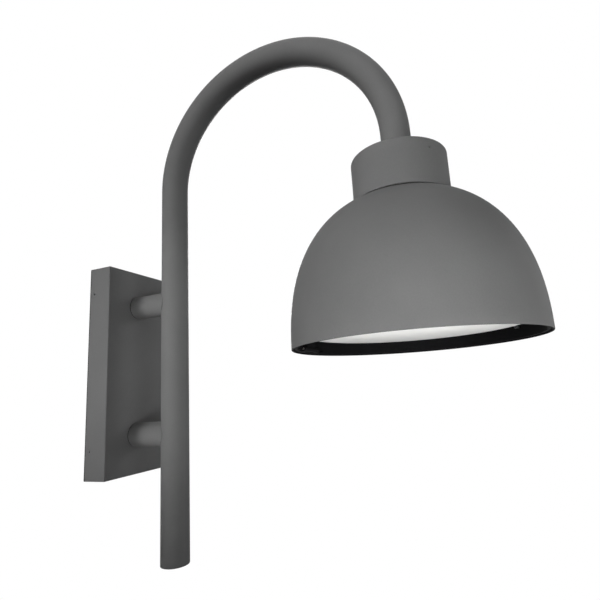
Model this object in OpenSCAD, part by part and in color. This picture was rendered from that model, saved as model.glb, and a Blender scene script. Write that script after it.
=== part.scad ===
// Dome wall light: a wall box, two stand-offs, a bent tube arm and a dome head.
// Frame: +X to the right seen from the room, +Y into the wall, +Z up.
// The origin is the centre of the wall box where it meets the wall.

/* [Wall box] */
// Width of the wall box
box_w = 124; // [118:1:150]
// Height of the wall box
box_h = 330; // [316:1:380]
// Depth of the wall box, from the wall to its front face
box_d = 41; // [39:0.5:60]
// Wall thickness of the wall box
box_wall = 3; // [2.5:0.5:4]
// Radius of the front edges of the wall box
box_edge_r = 1.5; // [0.5:0.1:2]
// Thickness of the foam gasket between box and wall
foam_t = 1.5; // [1:0.1:2.5]

/* [Back plate] */
// Thickness of the steel back plate
plate_t = 3; // [2:0.5:4]
// Thickness of the side tabs on the back plate
tab_t = 2.5; // [2:0.1:3]
// Height of each side tab
tab_l = 30; // [20:1:36]
// Depth of each side tab, from the wall
tab_d = 18; // [15:1:24]
// Distance of the wall fixing holes from the box's sides
anchor_inset_x = 22; // [18:1:28]
// Distance of the wall fixing holes from the box's ends
anchor_inset_z = 30; // [22:1:36]
// Diameter of the wall fixing holes
anchor_d = 7; // [5:0.5:8]
// Distance between the two junction box slots
jbox_pitch = 86; // [80:1:90]
// Length of a junction box slot, end to end
slot_l = 14; // [8:1:18]
// Width of a junction box slot
slot_w = 5; // [4:0.5:6]
// Height of the cable entry below the centre of the box
entry_drop = 45; // [40:1:60]
// Diameter of the cable entry hole in the plate
entry_d = 20; // [16:1:24]
// Bore of the rubber grommet in the cable entry
grommet_bore_d = 10; // [7:0.5:13]
// Length of the grommet that stands inside the box
grommet_lip_t = 3; // [2:0.5:4]

/* [Cover screws] */
// Distance of the side screws from the box's ends
cover_screw_inset = 43; // [39:1:48]
// Distance of the side screws from the wall
cover_screw_y = 10; // [9:0.5:12]
// Thread diameter of the side screws
cover_screw_d = 5; // [4:0.5:6]
// Head diameter of the side screws
cover_head_d = 9; // [8:0.5:10]

/* [Stand-offs] */
// Outer diameter of the stand-off tubes
standoff_d = 38; // [34:0.5:41]
// Wall thickness of the stand-off tubes
standoff_wall = 3; // [2:0.5:4]
// Distance of each stand-off's centre from the box's end
standoff_inset = 61; // [58:1:75]
// Thickness of the rubber seal under each stand-off
standoff_seal_t = 1.5; // [1:0.1:2.5]
// Outer diameter of the threaded spigot of each stand-off
spigot_d = 26; // [22:1:28]
// Bore of the spigot, for the lead
spigot_bore_d = 18; // [14:1:20]
// Length of the spigot's plug inside the stand-off tube
spigot_plug_l = 14; // [10:1:20]
// Distance of the stiffening plate from the box's sides
stiffener_inset_x = 12; // [8:1:16]
// Distance of the stiffening plate from the box's ends
stiffener_inset_z = 30; // [22:1:36]
// Thickness of the stiffening plate
stiffener_t = 4; // [3:0.5:5]
// Outer diameter of the spigot washers
spigot_washer_d = 44; // [38:1:48]
// Thickness of the spigot washers
spigot_washer_t = 2; // [1:0.5:3]
// Width across the flats of the spigot nuts
spigot_nut_af = 36; // [34:1:40]
// Height of the spigot nuts
spigot_nut_t = 7; // [5:0.5:8]

/* [Terminals in the box] */
// Width of the terminal block
block_w = 36; // [34:1:44]
// Depth of the terminal block, out from the plate
block_d = 16; // [14:1:20]
// Height of the terminal block
block_h = 22; // [18:1:26]
// Height of the terminal block's centre above the centre of the box
block_z = 5; // [0:1:12]
// Diameter of the earth screw
earth_d = 5; // [4:0.5:6]

/* [Arm] */
// Outer diameter of the arm tube
tube_d = 42.4; // [40:0.1:46]
// Wall thickness of the arm tube
tube_wall = 3.2; // [2.4:0.1:4]
// Distance from the wall to the centre of the upright tube
pole_out = 119; // [105:1:140]
// Reach from the upright tube to the head, centre to centre
arm_reach = 388; // [350:1:440]
// Height where the bend starts, above the centre of the box
bend_z = 296; // [260:1:340]
// Length of the upright tube below the centre of the box
pole_below = 291; // [240:1:320]
// Straight drop from the bend to the top of the collar
head_drop = 41; // [30:1:60]
// Thickness of the plug that closes the lower end of the tube
end_plug_t = 6; // [4:0.5:10]
// Diameter of the drain hole in the plug
drain_d = 4; // [3:0.5:6]

/* [Supply lead] */
// Diameter of the lead that runs through the arm
lead_d = 6; // [5:0.5:6.5]
// Bend radius of the lead in the wall box
box_bend_r = 15; // [13:0.5:16]
// Bend radius of the lead where it turns up into the upright tube
pole_bend_r = 14; // [13:0.5:14.5]
// Bend radius of the lead under the hub
head_bend_r = 12; // [10:0.5:13]

/* [Collar and hub] */
// Outer diameter of the collar
collar_d = 133; // [126:0.5:140]
// Height of the collar with its gasket
collar_h = 65; // [62:0.5:75]
// Wall thickness of the collar
collar_wall = 4; // [3:0.5:5]
// Thickness of the top of the collar
collar_top_t = 5; // [4:0.5:6]
// Radius of the collar's top edge
collar_edge_r = 3; // [1:0.5:4]
// Depth of the collar's fixing screws below its top
collar_screw_drop = 14; // [12:0.5:16]
// Direction of the visible collar screw, from +X towards the room
collar_screw_angle = 131.5; // [120:0.5:140]
// Thread diameter of the collar screws
collar_screw_d = 6; // [5:0.5:7]
// Length of the collar screws
collar_screw_l = 16; // [12:1:20]
// Thickness of the gasket between dome and collar
seam_t = 1.5; // [1:0.1:2]
// Distance that the gasket is set back from the collar's face
seam_setback = 1.5; // [1:0.1:2]
// Depth of the arm tube inside the collar
socket_l = 45; // [38:1:48]
// Outer diameter of the hub around the tube
hub_d = 60; // [56:1:66]
// Thickness of the hub's top flange
hub_flange_t = 18; // [16:0.5:20]
// Diameter of the hub's foot
hub_foot_d = 104; // [98:1:108]
// Thickness of the hub's foot
hub_foot_t = 10; // [8:0.5:12]
// Bore through the hub below the tube
hub_bore_d = 24; // [20:1:28]
// Width of the rubber ring between arm tube and collar
arm_seal_w = 2.3; // [1.5:0.1:3]
// Thread diameter of the set screws that hold the tube
set_screw_d = 8; // [6:0.5:8]
// Diameter of the plate that clamps the dome to the hub
clamp_d = 126; // [124:1:128]
// Thickness of the clamp plate
clamp_t = 5; // [4:0.5:6]
// Distance of the clamp screws from the head's axis
clamp_screw_r = 40; // [36:0.5:44]
// Thread diameter of the clamp screws
clamp_screw_d = 6; // [5:0.5:6]

/* [Dome] */
// Diameter of the dome at its rim
dome_d = 324; // [312:1:350]
// Height of the dome's full curve above the rim
dome_h = 202; // [196:1:230]
// Exponent of the dome's curve, 2 is an ellipse
dome_power = 2.38; // [2.3:0.01:2.6]
// Wall thickness of the dome
dome_wall = 2.5; // [1.5:0.1:3]

/* [Door ring] */
// Distance from the rim up to the ring's lower edge
ring_recess = 2; // [1:0.5:3]
// Wall thickness of the ring
ring_wall = 3.5; // [3:0.1:4]
// Thickness of the ring's flange
flange_t = 3; // [2.5:0.5:4]
// Width of the ring's flange, inwards from the outside
flange_w = 22; // [20:0.5:26]
// Gap between ring and dome
ring_gap = 0.4; // [0.3:0.1:1]

/* [Lens door] */
// Distance from the rim up to the door's lower face
door_recess = 18.5; // [18:0.5:22]
// Running gap between door and ring
door_gap = 1; // [0.8:0.1:1.5]
// Width of the black bezel around the lens
bezel_w = 11.6; // [10:0.1:14]
// Thickness of the ledge under the lens
ledge_t = 2; // [1.5:0.1:3]
// Width of the door frame's outer wall
frame_wall = 6; // [5.5:0.1:7]
// Thickness of the lens
lens_t = 4; // [3:0.5:6]
// Gap around the edge of the lens
lens_gap = 0.5; // [0.3:0.1:1]
// How far the lens's middle stands down through its window
lens_step_h = 4.2; // [0:0.1:4.5]
// Thickness of the lens gasket
lens_gasket_t = 1.2; // [0.8:0.1:2]
// Thickness of the ring that clamps the lens
lens_clamp_t = 1.5; // [1:0.1:2]
// Width of the ring that clamps the lens
lens_clamp_w = 14; // [12:0.5:16]
// Height of the door seal
door_seal_t = 3.5; // [3:0.1:5]
// Width of the door seal
door_seal_w = 4; // [3:0.1:5]
// Gap between the closed door and its seal
door_seal_gap = 0.3; // [0.2:0.1:0.5]
// Height of the hinge axis above the rim
hinge_rise = 6; // [5.5:0.1:7]
// Distance of the hinge axis in from the door's edge
hinge_in = 3.6; // [3.4:0.1:4]
// Outer diameter of the hinge knuckles
knuckle_d = 7; // [6:0.1:7]
// Diameter of the hinge pin
hinge_pin_d = 3; // [2.5:0.1:3.5]
// Width of the door's knuckle
knuckle_w = 28; // [20:1:36]
// Thickness of the door's web down to its knuckle
hinge_web_t = 4; // [3:0.5:5]
// Width of each knuckle on the ring
lug_w = 10; // [8:1:14]
// Thread diameter of the captive door screws
captive_d = 4; // [3:0.5:4]
// Angle of the captive screws to each side of the door's far point
captive_angle = 35; // [20:1:40]

/* [Gear inside the dome] */
// Height of the gear plate above the rim
gear_h = 80; // [74:1:84]
// Diameter of the gear plate
gear_d = 256; // [252:1:264]
// Thickness of the gear plate
gear_t = 3; // [2:0.5:4]
// Diameter of the heat sink
sink_d = 190; // [184:1:200]
// Thickness of the heat sink's base
sink_base_t = 5; // [4:0.5:6]
// Height of the heat sink's fins
fin_h = 24; // [16:1:28]
// Thickness of a fin
fin_t = 2; // [1.5:0.1:2.2]
// Distance between fins
fin_pitch = 13; // [13:0.1:14]
// Diameter of the LED board
board_d = 176; // [170:1:180]
// Thickness of the LED board
board_t = 1.6; // [1:0.1:2]
// Side of an LED package
chip_w = 3.5; // [2.5:0.1:4]
// Height of an LED package
chip_t = 0.8; // [0.6:0.1:1.2]
// Inner diameter of the reflector at its top
reflector_top_d = 182; // [182:1:188]
// Wall thickness of the reflector
reflector_t = 1.2; // [1:0.1:1.5]
// Height of the driver plate above the rim
tray_h = 124; // [122:1:128]
// Thickness of the driver plate
tray_t = 2; // [1.5:0.1:3]
// Length of the driver plate
tray_l = 148; // [146:1:150]
// Width of the driver plate
tray_w = 108; // [104:1:112]
// Length of the driver's case
driver_l = 122; // [118:1:124]
// Width of the driver's case
driver_w = 60; // [50:1:62]
// Height of the driver's case
driver_h = 33; // [30:1:34]
// Length of the driver's foot at each end
driver_foot_l = 12; // [10:0.5:12.5]
// Diameter of the hanger rods
rod_d = 6; // [5:0.5:6]
// Distance of the hanger rods from the head's axis, front and back
rod_y = 42; // [40:0.5:44]
// Width across the flats of the rod nuts
rod_nut_af = 10; // [9:0.5:10.5]
// Height of the rod nuts
rod_nut_t = 5; // [4:0.5:6]
// Diameter of the lead from the driver to the LED board
led_lead_d = 5; // [4:0.5:5]
// Bend radius of the LED lead
led_bend_r = 12; // [10:0.5:13]
// Width of the straps that carry the door ring
strap_w = 20; // [14:1:24]
// Thickness of the straps
strap_t = 1.5; // [1.2:0.1:2]

/* [Hidden] */
$fn = 96;

// Colours
graphite = "#5b5c5e";
black = "#1c1c1d";
steel = "#a9adb0";
aluminium = "#c3c6c8";
brass = "#b08d45";
opal = "#eeeeea";
white = "#f4f4f2";

// Clearances shared by many pieces
fit_gap = 0.05;
seat_gap = 0.3;
pin_gap = 0.05;
pin_seat_gap = 0.02;
cut = 1;
hex_ratio = 1 / cos(30);

// Wall box and back plate
plate_w = box_w - 2 * box_wall - 2 * seat_gap;
plate_h = box_h - 2 * box_wall - 2 * seat_gap;
anchor_pitch_x = box_w - 2 * anchor_inset_x;
anchor_pitch_z = box_h - 2 * anchor_inset_z;
cover_screw_z = box_h / 2 - cover_screw_inset;
standoff_pitch = box_h - 2 * standoff_inset;
stiffener_w = box_w - 2 * stiffener_inset_x;
stiffener_h = box_h - 2 * stiffener_inset_z;
box_front_y = -box_d;
face_inner_y = box_front_y + box_wall;
stiffener_inner_y = face_inner_y + stiffener_t;
washer_inner_y = stiffener_inner_y + spigot_washer_t;
nut_inner_y = washer_inner_y + spigot_nut_t;
spigot_end_l = 3;
spigot_end_y = nut_inner_y + spigot_end_l;
block_face_y = -plate_t - block_d;
block_screw_inset = 4;
block_screw_x = block_w / 2 - block_screw_inset;
block_screw_d = 3.5;
block_head_d = 6;
block_head_t = 1.8;
wire_screw_pitch = 8;
wire_screw_d = 3;
wire_screw_l = 3;
wire_head_d = 3.8;
wire_head_t = 1.2;
wire_head_sink = 1.5;
wire_screw_hole_r = 2;
wire_screw_hole_l = 5;
wire_hole_r = 2.2;
wire_hole_l = 6;
earth_head_d = 9;
earth_head_t = 4;
earth_x = 30;
earth_z = -block_z - block_h - entry_drop / 2;
lead_y = -plate_t - block_d / 2;
grommet_lip_w = 2.5;
grommet_lip_d = entry_d + 2 * grommet_lip_w;
countersink_t = (cover_head_d - cover_screw_d) / 2;
cover_screw_end_l = 2;
cover_hex_r = 1.5;
cover_hex_t = 1.6;

// Stand-offs and arm
tube_r = tube_d / 2;
tube_bore_r = tube_r - tube_wall;
pole_y = -pole_out;
head_y = pole_y - arm_reach;
bend_r = arm_reach / 2;
standoff_foot_y = box_front_y - standoff_seal_t;
standoff_seal_inset = 0.5;
standoff_bore_r = standoff_d / 2 - standoff_wall;
standoff_heights = [standoff_pitch / 2, -standoff_pitch / 2];
lead_z = standoff_pitch / 2;
spigot_hole_r = spigot_d / 2 + seat_gap;

// Collar and hub, from the top down
collar_r = collar_d / 2;
collar_top_z = bend_z - head_drop;
land_z = collar_top_z - collar_h;
collar_foot_z = land_z + seam_t;
hub_top_z = collar_top_z - collar_top_t - seat_gap;
hub_flange_r = collar_r - collar_wall - seat_gap;
arm_end_z = collar_top_z - socket_l;
socket_r = tube_r + fit_gap;
collar_hole_r = tube_r + arm_seal_w + fit_gap;
arm_seal_lip = 0.5;
set_screw_z = (arm_end_z + hub_top_z - hub_flange_t) / 2;
collar_screw_z = collar_top_z - collar_screw_drop;
collar_screw_sink = 0.2;
set_hex_t = 3;
clamp_head_t = 4;
clamp_head_d = 10;
bush_t = 8;
lead_hole_r = hub_bore_d / 2;
gasket_inset = 2;
clamp_screw_end_l = 2;

// Dome curve: radius at a height above the rim, and the height at a radius
function curve_r(h, r, top) = r * pow(1 - pow(h / top, dome_power), 1 / dome_power);
function curve_h(radius, r, top) = top * pow(1 - pow(radius / r, dome_power), 1 / dome_power);
dome_r = dome_d / 2;
land_h = curve_h(collar_r, dome_r, dome_h);
rim_z = land_z - land_h;
shell_r = dome_r - dome_wall;
shell_h = dome_h - dome_wall;
shell_land_h = land_h - dome_wall;
shell_land_r = curve_r(shell_land_h, shell_r, shell_h);
curve_steps = 40;

// Points on the dome's curve from its rim to a given radius, evenly spread over the turn
function curve_points(r, top, end_r) =
    let (last = acos(pow(end_r / r, dome_power / 2)))
    [for (i = [0:curve_steps]) let (t = last * i / curve_steps)
        [r * pow(cos(t), 2 / dome_power), top * pow(sin(t), 2 / dome_power)]];
function reversed(list) = [for (i = [len(list) - 1:-1:0]) list[i]];

// Lens door, heights above the rim
lens_seat_h = door_recess + ledge_t + lens_gasket_t;
frame_top_h = lens_seat_h + lens_t;
door_top_h = frame_top_h + lens_clamp_t;
seal_h = door_top_h + door_seal_gap;
flange_h = seal_h + door_seal_t;
ring_top_h = flange_h + flange_t;
ring_r = curve_r(ring_top_h, shell_r, shell_h) - ring_gap;
ring_bore_r = ring_r - ring_wall;
flange_bore_r = ring_r - flange_w;
door_r = ring_bore_r - door_gap;
window_r = door_r - bezel_w;
pocket_r = door_r - frame_wall;
lens_r = pocket_r - lens_gap;
door_screw_r = door_r - frame_wall / 2;
lens_clamp_bore_r = door_r - lens_clamp_w;
seal_inset = 2;
seal_r = pocket_r - seal_inset;
lens_gasket_inset = 1;
hinge_r = door_r - hinge_in;
hinge_h = hinge_rise;
door_chamfer = 1;
lens_clamp_screw_d = 3;
lens_clamp_screw_head_d = 5.5;
lens_clamp_screw_head_t = 1.8;
captive_head_d = 7;
captive_head_t = 3;
captive_clear = 0.5;
screw_clear = 0.1;
hinge_pin_l = knuckle_w + 2 * lug_w + 2 * seat_gap;

// Gear inside the dome
sink_base_h = gear_h + gear_t;
sink_top_h = sink_base_h + sink_base_t;
board_h = gear_h - board_t;
rod_x = 3 * fin_pitch;
fins_each_side = 7;
lead_hole_x = -6 * fin_pitch;
led_hole_r = led_lead_d;
led_grommet_lip = 2;
fin_inset = 1;
tray_top_h = tray_h + tray_t;
driver_top_h = tray_top_h + driver_h;
driver_mid_h = tray_top_h + driver_h / 2;
driver_foot_t = 3;
driver_screw_x = driver_l / 2 + driver_foot_l / 2;
clamp_h = land_h - dome_wall - clamp_t;
lead_run_gap = 1;
lead_run_h = driver_top_h + lead_run_gap + lead_d / 2;
lead_return_r = (lead_run_h - driver_mid_h) / 2;
lead_return_l = 6;
lead_return_x = driver_l / 2 + lead_return_l;

// LED packages in rings: count and radius
chip_rows = [[6, 16], [12, 32], [18, 48], [24, 64]];
board_screw_inset = 6;
board_screw_r = board_d / 2 - board_screw_inset;
small_screw_d = 4;
small_head_d = 7;
small_head_t = 2.2;
strap_angles = [45, 135, 225, 315];
strap_inset = 2;
strap_top_l = 14;
strap_foot_l = 9.5;
strap_top_out_r = gear_d / 2 - strap_inset;
strap_top_in_r = strap_top_out_r - strap_top_l;
strap_foot_out_r = ring_r - strap_inset;
strap_foot_in_r = strap_foot_out_r - strap_foot_l;
strap_top_screw_r = strap_top_in_r + small_head_d / 2 + strap_inset;
strap_head_gap = 1;
strap_foot_screw_r = strap_foot_out_r - small_head_d / 2 - strap_head_gap;
reflector_lip_w = 8;
protector_l = 40;
protector_w = 18;
protector_h = 22;
protector_gap = 3;

// A cylinder along Y from y0 up to y1
module bar_y(x, z, r, y0, y1) {
    translate([x, y1, z]) rotate([90, 0, 0]) cylinder(r = r, h = y1 - y0);
}

// A cylinder along X from x0 up to x1
module bar_x(y, z, r, x0, x1) {
    translate([x0, y, z]) rotate([0, 90, 0]) cylinder(r = r, h = x1 - x0);
}

// A flat ring between two heights
module ring(outer_r, inner_r, h0, h1) {
    translate([0, 0, h0]) difference() {
        cylinder(r = outer_r, h = h1 - h0);
        translate([0, 0, -cut]) cylinder(r = inner_r, h = h1 - h0 + 2 * cut);
    }
}

// A hexagonal nut on the Z axis, its flats facing X
module nut(across_flats, bore_r, t) {
    difference() {
        rotate([0, 0, 30]) cylinder(r = across_flats / 2 * hex_ratio, h = t, $fn = 6);
        translate([0, 0, -cut]) cylinder(r = bore_r, h = t + 2 * cut);
    }
}

// A screw on the Z axis: the shank runs from z = 0 up to l, the head lies below it
module screw(d, l, head_d, head_t) {
    cylinder(r = d / 2, h = l);
    difference() {
        translate([0, 0, -head_t]) cylinder(r = head_d / 2, h = head_t);
        translate([0, 0, -head_t - cut]) cylinder(r = head_d / 4, h = head_t / 2 + cut, $fn = 6);
    }
}

// Puts its children in the head: the axis of the dome, z = 0 at the rim
module in_head() {
    translate([0, head_y, rim_z]) children();
}

// Repeats its children around the Z axis at the given angles and radius
module around(angles, r) {
    for (a = angles) rotate([0, 0, a]) translate([r, 0, 0]) children();
}

// Repeats its children at the four hanger rods
module at_rods() {
    for (x = [-rod_x, rod_x], y = [-rod_y, rod_y]) translate([x, y, 0]) children();
}

// The path of the arm: upright, half-circle bend, and drop to a given height
module arm_path(r, foot_z, end_z) {
    translate([0, pole_y, foot_z]) cylinder(r = r, h = bend_z - foot_z);
    translate([0, pole_y - bend_r, bend_z]) rotate([90, 0, 90])
        rotate_extrude(angle = 180) translate([bend_r, 0]) circle(r = r);
    translate([0, head_y, end_z]) cylinder(r = r, h = bend_z - end_z);
}

// A quarter bend of round lead, from the +X direction to the +Y direction of its own plane
module quarter_bend(path_r, d) {
    rotate_extrude(angle = 90) translate([path_r, 0]) circle(r = d / 2);
}

// Wall box

module wall_gasket() {
    inner_w = box_w - 2 * box_wall;
    inner_h = box_h - 2 * box_wall;
    color(black) difference() {
        rotate([90, 0, 0]) linear_extrude(foam_t) rounded_rectangle(box_w, box_h, box_edge_r);
        translate([-inner_w / 2, -foam_t - cut, -inner_h / 2]) cube([inner_w, foam_t + 2 * cut, inner_h]);
    }
}

// A rectangle from 0 to depth whose two far corners are rounded
module rounded_section(width, depth, r) {
    translate([-width / 2, 0]) square([width, depth - r]);
    translate([-width / 2 + r, 0]) square([width - 2 * r, depth]);
    for (s = [-1, 1]) translate([s * (width / 2 - r), depth - r]) circle(r = r, $fn = 48);
}

// A centred rectangle with rounded corners
module rounded_rectangle(w, h, r) {
    square([w - 2 * r, h], center = true);
    square([w, h - 2 * r], center = true);
    for (x = [-1, 1], y = [-1, 1]) translate([x * (w / 2 - r), y * (h / 2 - r)]) circle(r = r, $fn = 48);
}

module wall_box() {
    depth = box_d - foam_t;
    color(graphite) difference() {
        translate([0, -foam_t, 0]) intersection() {
            translate([0, 0, -box_h / 2]) linear_extrude(box_h)
                mirror([0, 1]) rounded_section(box_w, depth, box_edge_r);
            rotate([90, 0, 90]) translate([0, 0, -box_w / 2]) linear_extrude(box_w)
                rotate(90) rounded_section(box_h, depth, box_edge_r);
            rotate([90, 0, 0]) linear_extrude(depth) rounded_rectangle(box_w, box_h, box_edge_r);
        }
        translate([-box_w / 2 + box_wall, face_inner_y, -box_h / 2 + box_wall])
            cube([box_w - 2 * box_wall, box_d, box_h - 2 * box_wall]);
        for (z = standoff_heights) bar_y(0, z, spigot_hole_r, box_front_y - cut, face_inner_y + cut);
        at_cover_screws() {
            translate([0, 0, -box_wall - cut]) cylinder(r = cover_screw_d / 2 + seat_gap, h = box_wall + cut);
            translate([0, 0, -countersink_t - fit_gap])
                cylinder(r1 = cover_screw_d / 2, r2 = cover_head_d / 2, h = countersink_t);
            translate([0, 0, -fit_gap]) cylinder(r = cover_head_d / 2, h = cut);
        }
    }
}

// Puts its children at the four side screws: +Z points out of the box's side
module at_cover_screws() {
    for (s = [-1, 1], z = [-cover_screw_z, cover_screw_z])
        translate([s * box_w / 2, -cover_screw_y, z]) rotate([0, s * 90, 0]) children();
}

module cover_screws() {
    reach = box_wall + seat_gap + tab_t + cover_screw_end_l;
    color(graphite) at_cover_screws() difference() {
        union() {
            translate([0, 0, -reach]) cylinder(r = cover_screw_d / 2 - fit_gap, h = reach - fit_gap);
            translate([0, 0, -countersink_t - fit_gap])
                cylinder(r1 = cover_screw_d / 2 - fit_gap, r2 = cover_head_d / 2 - 2 * fit_gap,
                         h = countersink_t);
        }
        translate([0, 0, -cover_hex_t]) cylinder(r = cover_hex_r, h = cover_hex_t + cut, $fn = 6);
    }
}

module back_plate() {
    tab_hole_r = cover_screw_d / 2 + fit_gap;
    color(steel) difference() {
        union() {
            translate([-plate_w / 2, -plate_t, -plate_h / 2]) cube([plate_w, plate_t, plate_h]);
            for (s = [0, 1], z = [-cover_screw_z, cover_screw_z]) mirror([s, 0, 0])
                translate([plate_w / 2 - tab_t, -tab_d, z - tab_l / 2]) cube([tab_t, tab_d, tab_l]);
        }
        for (z = [-cover_screw_z, cover_screw_z])
            bar_x(-cover_screw_y, z, tab_hole_r, -plate_w / 2 - cut, plate_w / 2 + cut);
        for (x = [-1, 1], z = [-1, 1])
            bar_y(x * anchor_pitch_x / 2, z * anchor_pitch_z / 2, anchor_d / 2, -plate_t - cut, cut);
        for (x = [-1, 1]) translate([x * jbox_pitch / 2, cut, -entry_drop]) rotate([90, 0, 0]) {
            linear_extrude(plate_t + 2 * cut) square([slot_l - slot_w, slot_w], center = true);
            for (s = [-1, 1]) translate([s * (slot_l - slot_w) / 2, 0, 0])
                cylinder(r = slot_w / 2, h = plate_t + 2 * cut);
        }
        bar_y(0, -entry_drop, entry_d / 2, -plate_t - cut, cut);
        bar_y(earth_x, earth_z, earth_d / 2 + fit_gap, -plate_t - cut, cut);
        for (x = [-1, 1]) bar_y(x * block_screw_x, block_z, block_screw_d / 2 + fit_gap, -plate_t - cut, cut);
    }
}

module stiffener_plate() {
    color(steel) difference() {
        translate([-stiffener_w / 2, face_inner_y, -stiffener_h / 2])
            cube([stiffener_w, stiffener_t, stiffener_h]);
        for (z = standoff_heights) bar_y(0, z, spigot_hole_r, face_inner_y - cut, stiffener_inner_y + cut);
    }
}

module terminal_block() {
    color(white) difference() {
        translate([-block_w / 2, block_face_y, block_z - block_h / 2]) cube([block_w, block_d, block_h]);
        for (x = [-1, 1])
            bar_y(x * block_screw_x, block_z, block_screw_d / 2 + fit_gap, block_face_y - cut, cut);
        for (i = [-1:1]) {
            bar_y(i * wire_screw_pitch, block_z, wire_screw_hole_r, block_face_y - cut,
                  block_face_y + wire_screw_hole_l);
            translate([i * wire_screw_pitch, lead_y, block_z - block_h / 2 - cut])
                cylinder(r = wire_hole_r, h = wire_hole_l + cut);
        }
    }
}

module terminal_screws() {
    color(brass) {
        for (x = [-1, 1]) translate([x * block_screw_x, block_face_y, block_z]) rotate([-90, 0, 0])
            screw(block_screw_d, block_d + plate_t - seat_gap, block_head_d, block_head_t);
        for (i = [-1:1]) translate([i * wire_screw_pitch, block_face_y + wire_head_sink, block_z])
            rotate([-90, 0, 0]) screw(wire_screw_d, wire_screw_l, wire_head_d, wire_head_t);
    }
}

module earth_screw() {
    color(brass) translate([earth_x, -plate_t, earth_z]) rotate([-90, 0, 0])
        screw(earth_d, plate_t - seat_gap, earth_head_d, earth_head_t);
}

module cable_grommet() {
    color(black) difference() {
        union() {
            bar_y(0, -entry_drop, entry_d / 2 - fit_gap, -plate_t - cut / 2, -fit_gap);
            bar_y(0, -entry_drop, grommet_lip_d / 2, -plate_t - grommet_lip_t, -plate_t);
        }
        bar_y(0, -entry_drop, grommet_bore_d / 2, -plate_t - grommet_lip_t - cut, cut);
    }
}

// Stand-offs

// A tube from the box to the upright tube, its far end cut to the tube's round
module standoff(z) {
    color(graphite) difference() {
        bar_y(0, z, standoff_d / 2, pole_y, standoff_foot_y);
        bar_y(0, z, standoff_bore_r, pole_y - cut, standoff_foot_y + cut);
        translate([0, pole_y, z - standoff_d]) cylinder(r = tube_r + fit_gap, h = 2 * standoff_d);
    }
}

module upper_standoff() {
    standoff(standoff_heights[0]);
}

module lower_standoff() {
    standoff(standoff_heights[1]);
}

// A turned plug in the stand-off's foot, with a threaded spigot into the box
module spigot(z) {
    color(steel) difference() {
        union() {
            bar_y(0, z, standoff_bore_r - fit_gap, standoff_foot_y - spigot_plug_l, standoff_foot_y);
            bar_y(0, z, spigot_d / 2, standoff_foot_y - cut, spigot_end_y);
        }
        bar_y(0, z, spigot_bore_d / 2, standoff_foot_y - spigot_plug_l - cut, spigot_end_y + cut);
    }
}

module upper_spigot() {
    spigot(standoff_heights[0]);
}

module lower_spigot() {
    spigot(standoff_heights[1]);
}

module spigot_washers() {
    color(steel) for (z = standoff_heights) difference() {
        bar_y(0, z, spigot_washer_d / 2, stiffener_inner_y, washer_inner_y);
        bar_y(0, z, spigot_d / 2 + screw_clear, stiffener_inner_y - cut, washer_inner_y + cut);
    }
}

module spigot_nuts() {
    color(steel) for (z = standoff_heights) translate([0, nut_inner_y, z]) rotate([90, 0, 0])
        nut(spigot_nut_af, spigot_d / 2 + fit_gap, spigot_nut_t);
}

module standoff_seals() {
    color(black) for (z = standoff_heights) difference() {
        bar_y(0, z, standoff_d / 2 - standoff_seal_inset, standoff_foot_y, box_front_y);
        bar_y(0, z, spigot_hole_r, standoff_foot_y - cut, box_front_y + cut);
    }
}

// Arm

module arm_tube() {
    color(graphite) difference() {
        arm_path(tube_r, -pole_below, arm_end_z);
        arm_path(tube_bore_r, -pole_below - cut, arm_end_z - cut);
        bar_y(0, lead_z, spigot_bore_d / 2, pole_y, pole_y + tube_d);
    }
}

module end_plug() {
    color(graphite) translate([0, pole_y, -pole_below]) difference() {
        cylinder(r = tube_bore_r - fit_gap, h = end_plug_t);
        translate([0, 0, -cut]) cylinder(r = drain_d / 2, h = end_plug_t + 2 * cut);
    }
}

module arm_seal() {
    color(black) translate([0, head_y, 0])
        ring(tube_r + arm_seal_w, tube_r + fit_gap, hub_top_z, collar_top_z + arm_seal_lip);
}

// The lead from the terminal block through stand-off, arm and hub to the driver
module supply_lead() {
    r = lead_d / 2;
    block_top_z = block_z + block_h / 2;
    box_bend_y = lead_y - box_bend_r;
    pole_bend_y = pole_y + pole_bend_r;
    run_z = rim_z + lead_run_h;
    driver_z = rim_z + driver_mid_h;
    color(black) {
        translate([0, lead_y, block_top_z]) cylinder(r = r, h = lead_z - box_bend_r - block_top_z);
        translate([0, box_bend_y, lead_z - box_bend_r]) rotate([90, 0, 90]) quarter_bend(box_bend_r, lead_d);
        bar_y(0, lead_z, r, pole_bend_y, box_bend_y);
        translate([0, pole_bend_y, lead_z + pole_bend_r]) rotate([90, 0, 90]) rotate([0, 0, 180])
            quarter_bend(pole_bend_r, lead_d);
        arm_path(r, lead_z + pole_bend_r, run_z + head_bend_r);
        translate([head_bend_r, head_y, run_z + head_bend_r]) rotate([90, 0, 0]) rotate([0, 0, 180])
            quarter_bend(head_bend_r, lead_d);
        bar_x(head_y, run_z, r, head_bend_r, lead_return_x);
        translate([lead_return_x, head_y, (run_z + driver_z) / 2]) rotate([90, 0, 0]) rotate([0, 0, -90])
            rotate_extrude(angle = 180) translate([lead_return_r, 0]) circle(r = r);
        bar_x(head_y, driver_z, r, driver_l / 2, lead_return_x);
    }
}

// Collar and hub

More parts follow.
